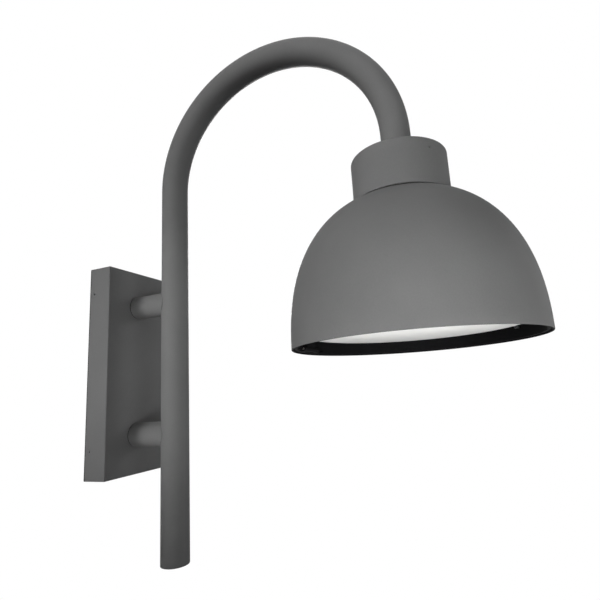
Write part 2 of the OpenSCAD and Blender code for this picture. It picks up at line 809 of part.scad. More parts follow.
module collar() {
    color(graphite) translate([0, head_y, 0]) difference() {
        union() {
            translate([0, 0, collar_foot_z]) cylinder(r = collar_r, h = collar_h - seam_t - collar_edge_r);
            translate([0, 0, collar_foot_z]) cylinder(r = collar_r - collar_edge_r, h = collar_h - seam_t);
            translate([0, 0, collar_top_z - collar_edge_r])
                rotate_extrude() translate([collar_r - collar_edge_r, 0]) circle(r = collar_edge_r);
        }
        translate([0, 0, collar_foot_z - cut])
            cylinder(r = collar_r - collar_wall, h = collar_h - seam_t - collar_top_t + cut);
        cylinder(r = collar_hole_r, h = collar_top_z + cut);
        at_collar_screws() cylinder(r = collar_screw_d / 2 + fit_gap, h = collar_screw_l);
    }
}

// Puts its children at the collar's three fixing screws: +Z points in to the axis
module at_collar_screws() {
    for (i = [0:2]) rotate([0, 0, -collar_screw_angle - 120 * i])
        translate([collar_r, 0, collar_screw_z]) rotate([0, -90, 0]) children();
}

module collar_screws() {
    color(graphite) translate([0, head_y, 0]) at_collar_screws() difference() {
        translate([0, 0, collar_screw_sink])
            cylinder(r = collar_screw_d / 2, h = collar_screw_l - collar_screw_sink);
        cylinder(r = collar_screw_d / 4, h = set_hex_t, $fn = 6);
    }
}

module arm_hub() {
    color(aluminium) translate([0, head_y, 0]) difference() {
        union() {
            translate([0, 0, hub_top_z - hub_flange_t]) cylinder(r = hub_flange_r, h = hub_flange_t);
            translate([0, 0, collar_foot_z]) cylinder(r = hub_d / 2, h = hub_top_z - collar_foot_z);
            translate([0, 0, collar_foot_z]) cylinder(r = hub_foot_d / 2, h = hub_foot_t);
        }
        translate([0, 0, arm_end_z - seat_gap]) cylinder(r = socket_r, h = socket_l);
        translate([0, 0, collar_foot_z - cut]) cylinder(r = lead_hole_r, h = socket_l);
        at_collar_screws() cylinder(r = collar_screw_d / 2 + fit_gap, h = collar_screw_l + cut);
        translate([0, 0, set_screw_z]) around([0, 120, 240], tube_r) rotate([0, 90, 0])
            cylinder(r = set_screw_d / 2 + fit_gap, h = hub_d);
        around([0, 90, 180, 270], clamp_screw_r) translate([0, 0, collar_foot_z - cut])
            cylinder(r = clamp_screw_d / 2 + fit_gap, h = hub_foot_t);
    }
}

module hub_set_screws() {
    color(steel) translate([0, head_y, set_screw_z]) around([0, 120, 240], tube_r + fit_gap)
        rotate([0, 90, 0]) difference() {
            cylinder(r = set_screw_d / 2, h = hub_d / 2 - tube_r);
            translate([0, 0, hub_d / 2 - tube_r - set_hex_t])
                cylinder(r = set_screw_d / 4, h = set_hex_t + cut, $fn = 6);
        }
}

module collar_gasket() {
    color(black) translate([0, head_y, 0]) difference() {
        ring(collar_r - seam_setback, lead_hole_r + gasket_inset, land_z, collar_foot_z);
        around([0, 90, 180, 270], clamp_screw_r) translate([0, 0, land_z - cut])
            cylinder(r = clamp_screw_d / 2 + seat_gap, h = seam_t + 2 * cut);
    }
}

module clamp_plate() {
    color(steel) in_head() difference() {
        ring(clamp_d / 2, lead_hole_r, clamp_h, clamp_h + clamp_t);
        around([0, 90, 180, 270], clamp_screw_r) translate([0, 0, clamp_h - cut])
            cylinder(r = clamp_screw_d / 2 + seat_gap, h = clamp_t + 2 * cut);
        at_rods() translate([0, 0, clamp_h - cut]) cylinder(r = rod_d / 2 + fit_gap, h = clamp_t + 2 * cut);
    }
}

module clamp_screws() {
    grip = clamp_t + dome_wall + seam_t;
    color(steel) in_head() around([0, 90, 180, 270], clamp_screw_r) translate([0, 0, clamp_h])
        screw(clamp_screw_d, grip + hub_foot_t - clamp_screw_end_l, clamp_head_d, clamp_head_t);
}

module lead_bush() {
    color(black) translate([0, head_y, collar_foot_z]) difference() {
        cylinder(r = lead_hole_r - fit_gap, h = bush_t);
        translate([0, 0, -cut]) cylinder(r = lead_d / 2 + fit_gap, h = bush_t + 2 * cut);
    }
}

// Dome

module shade() {
    color(graphite) in_head() difference() {
        rotate_extrude($fn = 180) polygon(concat(
            curve_points(dome_r, dome_h, collar_r),
            [[lead_hole_r, land_h], [lead_hole_r, shell_land_h]],
            reversed(curve_points(shell_r, shell_h, shell_land_r))));
        around([0, 90, 180, 270], clamp_screw_r) translate([0, 0, shell_land_h - cut])
            cylinder(r = clamp_screw_d / 2 + seat_gap, h = dome_wall + 2 * cut);
    }
}

// Puts its children on the hinge axis: +Z runs along +X
module on_hinge() {
    translate([0, hinge_r, hinge_h]) rotate([0, 90, 0]) children();
}

// One knuckle of the ring, from x0 to x0 + w, with its web back to the ring's wall
module ring_lug(x0, w) {
    intersection() {
        translate([x0, 0, 0]) union() {
            translate([0, hinge_r, hinge_h]) rotate([0, 90, 0]) cylinder(r = knuckle_d / 2, h = w);
            translate([0, hinge_r, hinge_h - knuckle_d / 2]) cube([w, ring_r - hinge_r, knuckle_d]);
        }
        cylinder(r = ring_bore_r + ring_wall / 2, h = flange_h);
    }
}

module door_ring() {
    lug_x = knuckle_w / 2 + seat_gap;
    color(black) in_head() difference() {
        union() {
            rotate_extrude($fn = 180) polygon([
                [ring_bore_r, ring_recess], [ring_r, ring_recess], [ring_r, ring_top_h],
                [flange_bore_r, ring_top_h], [flange_bore_r, flange_h], [ring_bore_r, flange_h]]);
            ring_lug(lug_x, lug_w);
            ring_lug(-lug_x - lug_w, lug_w);
        }
        on_hinge() translate([0, 0, -hinge_pin_l])
            cylinder(r = hinge_pin_d / 2 + pin_seat_gap, h = 2 * hinge_pin_l);
        around(captive_angles(), door_screw_r) translate([0, 0, flange_h - cut])
            cylinder(r = captive_d / 2 + captive_clear, h = flange_t + 2 * cut);
        around(strap_angles, strap_foot_screw_r) translate([0, 0, flange_h - cut])
            cylinder(r = small_screw_d / 2 + fit_gap, h = flange_t + 2 * cut);
    }
}

function captive_angles() = [-90 - captive_angle, -90 + captive_angle];

module door_seal() {
    color(black) in_head() ring(seal_r, seal_r - door_seal_w, seal_h, flange_h);
}

module hinge_pin() {
    color(steel) in_head() on_hinge() translate([0, 0, -hinge_pin_l / 2])
        cylinder(r = hinge_pin_d / 2, h = hinge_pin_l);
}

// Gear inside the dome

// One strap from under the gear plate down to the ring's flange
module ring_strap() {
    top_h = gear_h - strap_t;
    foot_top_h = ring_top_h + strap_t;
    translate([0, strap_w / 2, 0]) rotate([90, 0, 0]) linear_extrude(strap_w) polygon([
        [strap_top_in_r, gear_h], [strap_top_out_r, gear_h], [strap_foot_in_r + strap_t, foot_top_h],
        [strap_foot_out_r, foot_top_h], [strap_foot_out_r, ring_top_h], [strap_foot_in_r, ring_top_h],
        [strap_top_out_r - strap_t, top_h], [strap_top_in_r, top_h]]);
}

module ring_straps() {
    color(steel) in_head() difference() {
        around(strap_angles, 0) ring_strap();
        around(strap_angles, strap_top_screw_r) translate([0, 0, gear_h - strap_t - cut])
            cylinder(r = small_screw_d / 2 + fit_gap, h = strap_t + 2 * cut);
        around(strap_angles, strap_foot_screw_r) translate([0, 0, ring_top_h - cut])
            cylinder(r = small_screw_d / 2 + fit_gap, h = strap_t + 2 * cut);
    }
}

module strap_screws() {
    color(steel) in_head() {
        around(strap_angles, strap_top_screw_r) translate([0, 0, gear_h - strap_t])
            screw(small_screw_d, strap_t + gear_t, small_head_d, small_head_t);
        around(strap_angles, strap_foot_screw_r) translate([0, 0, ring_top_h + strap_t]) mirror([0, 0, 1])
            screw(small_screw_d, strap_t + flange_t, small_head_d, small_head_t);
    }
}

// The holes that gear plate and heat sink share
module plate_holes(h0, h1) {
    at_rods() translate([0, 0, h0 - cut]) cylinder(r = rod_d / 2 + fit_gap, h = h1 - h0 + 2 * cut);
    translate([lead_hole_x, 0, h0 - cut]) cylinder(r = led_hole_r, h = h1 - h0 + 2 * cut);
}

module gear_plate() {
    color(aluminium) in_head() difference() {
        translate([0, 0, gear_h]) cylinder(r = gear_d / 2, h = gear_t);
        plate_holes(gear_h, gear_h + gear_t);
        around(strap_angles, strap_top_screw_r) translate([0, 0, gear_h - cut])
            cylinder(r = small_screw_d / 2 + fit_gap, h = gear_t + 2 * cut);
        around(board_screw_angles(), board_screw_r) translate([0, 0, gear_h - cut])
            cylinder(r = lens_clamp_screw_d / 2 + fit_gap, h = gear_t + 2 * cut);
    }
}

function board_screw_angles() = [for (i = [0:5]) 30 + 60 * i];

module heat_sink() {
    color(aluminium) in_head() difference() {
        union() {
            translate([0, 0, sink_base_h]) cylinder(r = sink_d / 2, h = sink_base_t);
            intersection() {
                for (i = [0:fins_each_side - 1], s = [-1, 1])
                    translate([s * (i + 0.5) * fin_pitch - fin_t / 2, -sink_d / 2, sink_top_h - cut])
                        cube([fin_t, sink_d, fin_h + cut]);
                translate([0, 0, sink_base_h]) cylinder(r = sink_d / 2 - fin_inset, h = sink_base_t + fin_h);
            }
        }
        plate_holes(sink_base_h, sink_top_h);
    }
}

module hanger_rods() {
    bottom_h = gear_h + seat_gap;
    color(steel) in_head() at_rods() translate([0, 0, bottom_h])
        cylinder(r = rod_d / 2, h = clamp_h + clamp_t - seat_gap - bottom_h);
}

module rod_nuts() {
    color(steel) in_head() at_rods()
        for (h = [sink_top_h, tray_h - rod_nut_t, tray_top_h, clamp_h - rod_nut_t])
            translate([0, 0, h]) nut(rod_nut_af, rod_d / 2 + fit_gap, rod_nut_t);
}

module driver_plate() {
    color(steel) in_head() difference() {
        translate([-tray_l / 2, -tray_w / 2, tray_h]) cube([tray_l, tray_w, tray_t]);
        at_rods() translate([0, 0, tray_h - cut]) cylinder(r = rod_d / 2 + fit_gap, h = tray_t + 2 * cut);
        for (s = [-1, 1]) translate([s * driver_screw_x, 0, tray_h - cut])
            cylinder(r = small_screw_d / 2 + fit_gap, h = tray_t + 2 * cut);
    }
}

module driver() {
    foot_w = driver_w / 2;
    full_l = driver_l + 2 * driver_foot_l;
    color(white) in_head() difference() {
        union() {
            translate([-driver_l / 2, -driver_w / 2, tray_top_h]) cube([driver_l, driver_w, driver_h]);
            translate([-full_l / 2, -foot_w / 2, tray_top_h]) cube([full_l, foot_w, driver_foot_t]);
        }
        for (s = [-1, 1]) translate([s * driver_screw_x, 0, tray_top_h - cut])
            cylinder(r = small_screw_d / 2 + fit_gap, h = driver_foot_t + 2 * cut);
    }
}

module driver_screws() {
    color(steel) in_head() for (s = [-1, 1])
        translate([s * driver_screw_x, 0, tray_top_h + driver_foot_t]) mirror([0, 0, 1])
            screw(small_screw_d, driver_foot_t + tray_t, small_head_d, small_head_t);
}

module surge_protector() {
    color(black) in_head() translate([-protector_l / 2, driver_w / 2 + protector_gap, tray_top_h])
        cube([protector_l, protector_w, protector_h]);
}

module led_board() {
    color(white) in_head() difference() {
        translate([0, 0, board_h]) cylinder(r = board_d / 2, h = board_t);
        around(board_screw_angles(), board_screw_r) translate([0, 0, board_h - cut])
            cylinder(r = lens_clamp_screw_d / 2 + fit_gap, h = board_t + 2 * cut);
    }
}

module led_chips() {
    color("#e9cf6a") in_head() for (row = chip_rows)
        around([for (i = [0:row[0] - 1]) 360 * i / row[0]], row[1])
        translate([-chip_w / 2, -chip_w / 2, board_h - chip_t]) cube([chip_w, chip_w, chip_t]);
}

module board_screws() {
    color(steel) in_head() around(board_screw_angles(), board_screw_r) translate([0, 0, board_h])
        screw(lens_clamp_screw_d, board_t + gear_t - seat_gap, lens_clamp_screw_head_d,
              lens_clamp_screw_head_t);
}

// The lead from the driver's output end down to the LED board
module led_lead() {
    r = led_lead_d / 2;
    bend_x = lead_hole_x + led_bend_r;
    color("#c9392f") in_head() {
        bar_x(0, driver_mid_h, r, bend_x, -driver_l / 2);
        translate([bend_x, 0, driver_mid_h - led_bend_r]) rotate([90, 0, 0]) rotate([0, 0, 90])
            quarter_bend(led_bend_r, led_lead_d);
        translate([lead_hole_x, 0, gear_h]) cylinder(r = r, h = driver_mid_h - led_bend_r - gear_h);
    }
}

module led_grommet() {
    color(black) in_head() translate([lead_hole_x, 0, 0])
        ring(led_hole_r - fit_gap, led_lead_d / 2 + fit_gap, gear_h + seat_gap, sink_top_h + led_grommet_lip);
}

module reflector() {
    top_r = reflector_top_d / 2;
    lip_r = flange_bore_r + reflector_lip_w;
    color(white) in_head() rotate_extrude($fn = 180) polygon([
        [flange_bore_r, ring_top_h], [lip_r, ring_top_h], [lip_r, ring_top_h + reflector_t],
        [flange_bore_r + reflector_t, ring_top_h + reflector_t], [top_r + reflector_t, gear_h],
        [top_r, gear_h]]);
}

// Lens door

module lens_frame() {
    web_h = door_recess + ledge_t / 2 - hinge_h;
    color(black) in_head() difference() {
        union() {
            rotate_extrude($fn = 180) polygon([
                [window_r, door_recess], [door_r, door_recess], [door_r, frame_top_h],
                [pocket_r, frame_top_h], [pocket_r, door_recess + ledge_t],
                [window_r, door_recess + ledge_t]]);
            on_hinge() translate([0, 0, -knuckle_w / 2]) cylinder(r = knuckle_d / 2, h = knuckle_w);
            translate([-knuckle_w / 2, hinge_r - hinge_web_t / 2, hinge_h])
                cube([knuckle_w, hinge_web_t, web_h]);
        }
        on_hinge() translate([0, 0, -knuckle_w]) cylinder(r = hinge_pin_d / 2 + pin_gap, h = 2 * knuckle_w);
        at_door_screws() cylinder(r = lens_clamp_screw_d / 2 + fit_gap, h = frame_top_h);
        around(captive_angles(), door_screw_r)
            cylinder(r = captive_d / 2 + screw_clear, h = frame_top_h + cut);
    }
}

function lens_clamp_angles() = [for (i = [0:7]) 22.5 + 45 * i];

// Puts its children at the lens clamp's eight screws, at the level of the ledge
module at_door_screws() {
    around(lens_clamp_angles(), door_screw_r) translate([0, 0, door_recess + ledge_t]) children();
}

module lens_gasket() {
    color(black) in_head() ring(lens_r, window_r + lens_gasket_inset, door_recess + ledge_t, lens_seat_h);
}

// A moulded pan: its flange sits on the gasket and its floor stands down in the window
module lens() {
    pan_r = window_r - lens_gap;
    face_h = lens_seat_h - lens_step_h;
    color(opal) in_head() difference() {
        union() {
            translate([0, 0, lens_seat_h]) cylinder(r = lens_r, h = lens_t, $fn = 180);
            translate([0, 0, face_h]) cylinder(r = pan_r, h = frame_top_h - face_h, $fn = 180);
        }
        translate([0, 0, face_h + lens_t]) cylinder(r = pan_r - lens_t, h = lens_step_h + cut, $fn = 180);
    }
}

module lens_clamp() {
    color(black) in_head() difference() {
        ring(door_r - door_chamfer, lens_clamp_bore_r, frame_top_h, door_top_h);
        at_door_screws() cylinder(r = lens_clamp_screw_d / 2 + fit_gap, h = frame_top_h);
        around(captive_angles(), door_screw_r)
            cylinder(r = captive_d / 2 + screw_clear, h = door_top_h + cut);
    }
}

module lens_clamp_screws() {
    color(steel) in_head() around(lens_clamp_angles(), door_screw_r)
        translate([0, 0, door_top_h]) mirror([0, 0, 1])
            screw(lens_clamp_screw_d, door_top_h - lens_seat_h, lens_clamp_screw_head_d,
                  lens_clamp_screw_head_t);
}

module captive_screws() {
    color(steel) in_head() around(captive_angles(), door_screw_r) translate([0, 0, door_recess])
        screw(captive_d, ring_top_h - door_recess, captive_head_d, captive_head_t);
}

wall_gasket();
wall_box();
back_plate();
cover_screws();
stiffener_plate();
terminal_block();
terminal_screws();
earth_screw();
cable_grommet();
upper_standoff();
lower_standoff();
upper_spigot();
lower_spigot();
spigot_washers();
spigot_nuts();
standoff_seals();
arm_tube();
end_plug();
arm_seal();
supply_lead();
collar();
collar_screws();
arm_hub();
hub_set_screws();
collar_gasket();
clamp_plate();
clamp_screws();
lead_bush();
shade();
door_ring();
door_seal();
hinge_pin();
ring_straps();
strap_screws();
gear_plate();
heat_sink();
hanger_rods();
rod_nuts();
driver_plate();
driver();
driver_screws();
surge_protector();
led_board();
led_chips();
board_screws();
led_lead();
led_grommet();
reflector();
lens_frame();
lens_gasket();
lens();
lens_clamp();
lens_clamp_screws();
captive_screws();
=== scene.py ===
"""The looks of a dome wall light: its finishes, its finer pieces, the studio and the camera.

Lengths in the classes are millimetres in the light's own frame: +X to the right seen from
the room, +Y into the wall and +Z up, from the centre of the wall box where it meets the wall.
"""

import logging
import math
from abc import ABC, abstractmethod
from dataclasses import dataclass
from enum import Enum
from functools import cache
from typing import Self

import bmesh
import bpy
from mathutils import Matrix, Vector


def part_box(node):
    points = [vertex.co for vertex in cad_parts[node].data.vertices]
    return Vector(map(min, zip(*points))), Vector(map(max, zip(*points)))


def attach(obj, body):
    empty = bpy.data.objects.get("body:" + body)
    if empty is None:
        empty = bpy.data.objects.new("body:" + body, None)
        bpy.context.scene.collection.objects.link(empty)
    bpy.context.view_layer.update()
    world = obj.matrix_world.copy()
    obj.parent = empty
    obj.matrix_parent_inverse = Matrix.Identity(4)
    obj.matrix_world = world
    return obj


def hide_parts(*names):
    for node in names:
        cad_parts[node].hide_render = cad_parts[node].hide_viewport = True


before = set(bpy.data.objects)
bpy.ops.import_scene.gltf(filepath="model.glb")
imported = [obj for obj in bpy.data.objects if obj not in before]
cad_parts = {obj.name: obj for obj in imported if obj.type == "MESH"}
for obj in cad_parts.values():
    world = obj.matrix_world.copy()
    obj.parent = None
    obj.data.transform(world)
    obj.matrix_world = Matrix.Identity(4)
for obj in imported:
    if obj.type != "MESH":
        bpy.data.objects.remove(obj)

LOG = logging.getLogger("dome_wall_light")
Colour = tuple[float, float, float, float]
Triple = tuple[float, float, float]
Tree = bpy.types.NodeTree
Node = bpy.types.Node
Socket = bpy.types.NodeSocket
Shape = bmesh.types.BMesh
Edge = bmesh.types.BMEdge
Vert = bmesh.types.BMVert

MM = 0.001
FULL_TURN = 2 * math.pi
WHITE: Colour = (1.0, 1.0, 1.0, 1.0)
# Points nearer than this many millimetres are one point.
SAME = 1e-4
# The part of its range that a noise pattern mostly keeps to.
NOISE_LOW, NOISE_HIGH = 0.3, 0.7
# Places of the Mix node's sockets, which share their names between its types.
FACTOR, NUMBER_A, NUMBER_B, COLOUR_A, COLOUR_B, COLOUR_OUT = 0, 2, 3, 6, 7, 2


class Body(Enum):
    """The two bodies that the pieces ride on."""

    FIXTURE = "fixture"
    DOOR = "lens_door"


# Colour and node helpers


def linear(hex_colour: str) -> Colour:
    """Turns an sRGB hex colour into a linear one.

    Args:
        hex_colour: A colour such as "#5b5c5e".

    Returns:
        Linear red, green, blue and an alpha of 1.
    """
    channels = [int(hex_colour[i : i + 2], 16) / 255 for i in (1, 3, 5)]
    red, green, blue = (
        c / 12.92 if c <= 0.04045 else ((c + 0.055) / 1.055) ** 2.4 for c in channels
    )
    return red, green, blue, 1.0


def toned(colour: Colour, factor: float) -> Colour:
    """Makes a linear colour lighter or darker.

    Args:
        colour: The linear colour.
        factor: What its channels are multiplied by.

    Returns:
        The new colour, with its channels held at 1 or less.
    """
    red, green, blue = (min(1.0, c * factor) for c in colour[:3])
    return red, green, blue, 1.0


def per_metre(size_mm: float) -> float:
    """Gives a texture node's scale for a pattern of that real size."""
    return 1 / (size_mm * MM)


def add_node(
    tree: Tree, kind: str, inputs: dict[str | int, object] | None = None, **settings: object
) -> Node:
    """Adds a node with its settings, values and links.

    Args:
        tree: The node tree that it goes into.
        kind: Blender's name of the node type.
        inputs: A value, or an output socket to link, for each named input.
        settings: The node's own properties.

    Returns:
        The node.
    """
    node = tree.nodes.new(kind)
    for name, value in settings.items():
        setattr(node, name, value)
    for key, value in (inputs or {}).items():
        if isinstance(value, Socket):
            tree.links.new(value, node.inputs[key])
        else:
            node.inputs[key].default_value = value
    return node


# Finishes


@dataclass(frozen=True)
class Finish:
    """One real surface: what it is made of and how it was made.

    Each kind of surface below paints its own pattern on the shader. Patterns are sized
    in millimetres and read Object coordinates, which are the light's own frame.
    """

    name: str
    colour: str
    roughness: float
    metallic: float = 0.0
    ior: float = 1.5
    specular: float = 0.5
    tone_spread: float = 0.06
    roughness_spread: float = 0.05

    def build(self) -> bpy.types.Material:
        """Makes the material.

        Returns:
            The finished material.
        """
        material = bpy.data.materials.new(self.name)
        material.use_nodes = True
        tree = material.node_tree
        tree.nodes.clear()
        shader = add_node(
            tree,
            "ShaderNodeBsdfPrincipled",
            {
                "Base Color": linear(self.colour),
                "Roughness": self.roughness,
                "Metallic": self.metallic,
                "IOR": self.ior,
                "Specular IOR Level": self.specular,
            },
        )
        add_node(tree, "ShaderNodeOutputMaterial", {"Surface": shader.outputs["BSDF"]})
        coords = add_node(tree, "ShaderNodeTexCoord").outputs["Object"]
        self.paint(tree, shader, coords)
        return material

    def paint(self, tree: Tree, shader: Node, coords: Socket) -> None:
        """Adds the surface's own pattern; each kind of surface has its own."""
        raise NotImplementedError

    def vary(self, tree: Tree, shader: Node, tone: Socket, polish: Socket) -> None:
        """Lets the colour and the roughness drift with two patterns.

        Args:
            tree: The material's node tree.
            shader: Its principled shader.
            tone: The pattern that the colour follows.
            polish: The pattern that the roughness follows.
        """
        base = linear(self.colour)
        factor = add_node(
            tree,
            "ShaderNodeMapRange",
            {"Value": tone, "From Min": NOISE_LOW, "From Max": NOISE_HIGH},
        )
        colour = add_node(
            tree,
            "ShaderNodeMix",
            {
                FACTOR: factor.outputs["Result"],
                COLOUR_A: toned(base, 1 - self.tone_spread),
                COLOUR_B: toned(base, 1 + self.tone_spread),
            },
            data_type="RGBA",
        )
        tree.links.new(colour.outputs[COLOUR_OUT], shader.inputs["Base Color"])
        rough = add_node(
            tree,
            "ShaderNodeMapRange",
            {
                "Value": polish,
                "From Min": NOISE_LOW,
                "From Max": NOISE_HIGH,
                "To Min": self.roughness - self.roughness_spread,
                "To Max": self.roughness + self.roughness_spread,
            },
        )
        tree.links.new(rough.outputs["Result"], shader.inputs["Roughness"])

    def raise_surface(self, tree: Tree, shader: Node, *layers: tuple[Socket, float]) -> None:
        """Gives the surface its relief.

        Args:
            tree: The material's node tree.
            shader: Its principled shader.
            layers: Each a pattern and its depth in millimetres.
        """
        normal: Socket | None = None
        for height, depth_mm in layers:
            inputs: dict[str | int, object] = {"Height": height, "Distance": depth_mm * MM}
            if normal is not None:
                inputs["Normal"] = normal
            normal = add_node(tree, "ShaderNodeBump", inputs).outputs["Normal"]
        if normal is not None:
            tree.links.new(normal, shader.inputs["Normal"])


@dataclass(frozen=True)
class PowderCoat(Finish):
    """Polyester powder, sprayed and baked: fine grit over a faint orange peel.

    The real grit is about 0.3 mm, too fine to show here, so it is drawn at grit_mm.
    """

    grit_mm: float = 1.6
    grit_depth_mm: float = 0.025
    peel_mm: float = 7.0
    peel_depth_mm: float = 0.04
    cloud_mm: float = 90.0
    grit_share: float = 0.4

    def paint(self, tree: Tree, shader: Node, coords: Socket) -> None:
        """Paints drifting tone, dark grit specks, peel and grit relief.

        Args:
            tree: The material's node tree.
            shader: Its principled shader.
            coords: The light's own coordinates.
        """
        cloud = add_node(
            tree,
            "ShaderNodeTexNoise",
            {"Vector": coords, "Scale": per_metre(self.cloud_mm), "Detail": 3.0},
        )
        peel = add_node(
            tree,
            "ShaderNodeTexNoise",
            {"Vector": coords, "Scale": per_metre(self.peel_mm), "Detail": 1.0},
        )
        grit = add_node(
            tree,
            "ShaderNodeTexNoise",
            {
                "Vector": coords,
                "Scale": per_metre(self.grit_mm),
                "Detail": 2.0,
                "Roughness": 0.7,
            },
        )
        tone = add_node(
            tree,
            "ShaderNodeMix",
            {FACTOR: self.grit_share, NUMBER_A: cloud.outputs[0], NUMBER_B: grit.outputs[0]},
            data_type="FLOAT",
        )
        self.vary(tree, shader, tone.outputs[0], grit.outputs[0])
        relief = (peel.outputs[0], self.peel_depth_mm), (grit.outputs[0], self.grit_depth_mm)
        self.raise_surface(tree, shader, *relief)


@dataclass(frozen=True)
class Grained(Finish):
    """A surface whose tone drifts slowly and whose fine grain shows in polish and relief."""

    drift_mm: float = 30.0
    drift_detail: float = 2.0
    drift_swirl: float = 0.0
    grain_mm: float = 1.0
    grain_detail: float = 2.0
    grain_depth_mm: float = 0.02

    def paint(self, tree: Tree, shader: Node, coords: Socket) -> None:
        """Paints the drift and the grain.

        Args:
            tree: The material's node tree.
            shader: Its principled shader.
            coords: The light's own coordinates.
        """
        drift = add_node(
            tree,
            "ShaderNodeTexNoise",
            {
                "Vector": coords,
                "Scale": per_metre(self.drift_mm),
                "Detail": self.drift_detail,
                "Distortion": self.drift_swirl,
            },
        )
        grain = add_node(
            tree,
            "ShaderNodeTexNoise",
            {"Vector": coords, "Scale": per_metre(self.grain_mm), "Detail": self.grain_detail},
        )
        self.vary(tree, shader, drift.outputs[0], grain.outputs[0])
        self.raise_surface(tree, shader, (grain.outputs[0], self.grain_depth_mm))


@dataclass(frozen=True)
class Rubber(Grained):
    """Rubber out of an etched mould or a die: matt, a little chalky where it bloomed."""

    drift_mm: float = 24.0
    drift_detail: float = 4.0
    grain_mm: float = 0.9
    grain_depth_mm: float = 0.04


@dataclass(frozen=True)
class CastMetal(Grained):
    """Die-cast aluminium: a sandy skin over the clouds that the flowing metal left."""

    drift_mm: float = 35.0
    drift_detail: float = 4.0
    drift_swirl: float = 1.5
    grain_mm: float = 1.1
    grain_detail: float = 3.0
    grain_depth_mm: float = 0.05


@dataclass(frozen=True)
class WhiteEnamel(Grained):
    """Sprayed white enamel on thin metal: even, with a slight peel and a trace of yellowing."""

    drift_mm: float = 50.0
    grain_mm: float = 3.0
    grain_detail: float = 1.0
    grain_depth_mm: float = 0.03


@dataclass(frozen=True)
class MouldedPlastic(Grained):
    """Injection-moulded plastic: satin from an etched mould, with light in the pale ones."""

    drift_mm: float = 18.0
    grain_mm: float = 0.8
    glow: float = 0.0
    glow_tint: Triple = (1.0, 0.9, 0.8)
    glow_depth_mm: float = 1.5

    def paint(self, tree: Tree, shader: Node, coords: Socket) -> None:
        """Lets light into the plastic, then paints its flow clouds and its etched grain.

        Args:
            tree: The material's node tree.
            shader: Its principled shader.
            coords: The light's own coordinates.
        """
        shader.inputs["Subsurface Weight"].default_value = self.glow
        shader.inputs["Subsurface Radius"].default_value = self.glow_tint
        shader.inputs["Subsurface Scale"].default_value = self.glow_depth_mm * MM
        super().paint(tree, shader, coords)


@dataclass(frozen=True)
class OpalSheet(MouldedPlastic):
    """Opal acrylic, satin on its outer face: milky, with light spreading inside the sheet."""

    drift_mm: float = 60.0
    grain_mm: float = 1.8
    grain_depth_mm: float = 0.008
    glow: float = 0.35
    glow_tint: Triple = (1.0, 0.98, 0.94)
    glow_depth_mm: float = 3.0


@dataclass(frozen=True)
class CellFoam(Finish):
    """Closed-cell foam strip: torn bubbles, dull all over."""

    cell_mm: float = 1.4
    cell_depth_mm: float = 0.25

    def paint(self, tree: Tree, shader: Node, coords: Socket) -> None:
        """Paints the cells, dark in their middles.

        Args:
            tree: The material's node tree.
            shader: Its principled shader.
            coords: The light's own coordinates.
        """
        cells = add_node(
            tree, "ShaderNodeTexVoronoi", {"Vector": coords, "Scale": per_metre(self.cell_mm)}
        )
        middles = cells.outputs["Distance"]
        self.vary(tree, shader, middles, middles)
        self.raise_surface(tree, shader, (middles, self.cell_depth_mm))


@dataclass(frozen=True)
class ZincPlate(Finish):
    """Cold-rolled steel, zinc plated and passivated: cool and warm tints over rolling lines."""

    tint: str = "#a39d86"
    tint_mm: float = 30.0
    tint_share: float = 0.55
    tint_from: float = 0.45
    tint_full: float = 0.75
    line_mm: float = 0.9
    line_depth_mm: float = 0.012
    stretch: Triple = (1.0, 1.0, 0.04)

    def paint(self, tree: Tree, shader: Node, coords: Socket) -> None:
        """Paints the passivation's tints and the lines left by the rolls.

        Args:
            tree: The material's node tree.
            shader: Its principled shader.
            coords: The light's own coordinates.
        """
        clouds = add_node(
            tree,
            "ShaderNodeTexNoise",
            {
                "Vector": coords,
                "Scale": per_metre(self.tint_mm),
                "Detail": 3.0,
                "Distortion": 0.8,
            },
        )
        along = add_node(tree, "ShaderNodeMapping", {"Vector": coords, "Scale": self.stretch})
        lines = add_node(
            tree,
            "ShaderNodeTexNoise",
            {"Vector": along.outputs[0], "Scale": per_metre(self.line_mm), "Detail": 3.0},
        )
        self.vary(tree, shader, lines.outputs[0], clouds.outputs[0])
        plain = shader.inputs["Base Color"].links[0].from_socket
        strength = add_node(
            tree,
            "ShaderNodeMapRange",
            {
                "Value": clouds.outputs[0],
                "From Min": self.tint_from,
                "From Max": self.tint_full,
                "To Max": self.tint_share,
            },
        )
        tinted = add_node(
            tree,
            "ShaderNodeMix",
            {FACTOR: strength.outputs["Result"], COLOUR_A: plain, COLOUR_B: linear(self.tint)},
            data_type="RGBA",
        )
        tree.links.new(tinted.outputs[COLOUR_OUT], shader.inputs["Base Color"])
        self.raise_surface(tree, shader, (lines.outputs[0], self.line_depth_mm))


@dataclass(frozen=True)
class TurnedMetal(Finish):
    """Metal turned or headed bright: fine tool marks, a little uneven."""

    mark_mm: float = 0.5
    mark_depth_mm: float = 0.01
    stain_mm: float = 4.0

    def paint(self, tree: Tree, shader: Node, coords: Socket) -> None:
        """Paints tool marks and handling marks.

        Args:
            tree: The material's node tree.
            shader: Its principled shader.
            coords: The light's own coordinates.
        """
        marks = add_node(
            tree,
            "ShaderNodeTexNoise",
            {"Vector": coords, "Scale": per_metre(self.mark_mm), "Detail": 2.0},
        )
        stains = add_node(
            tree,
            "ShaderNodeTexNoise",
            {"Vector": coords, "Scale": per_metre(self.stain_mm), "Detail": 3.0},
        )
        self.vary(tree, shader, stains.outputs[0], stains.outputs[0])
        self.raise_surface(tree, shader, (marks.outputs[0], self.mark_depth_mm))


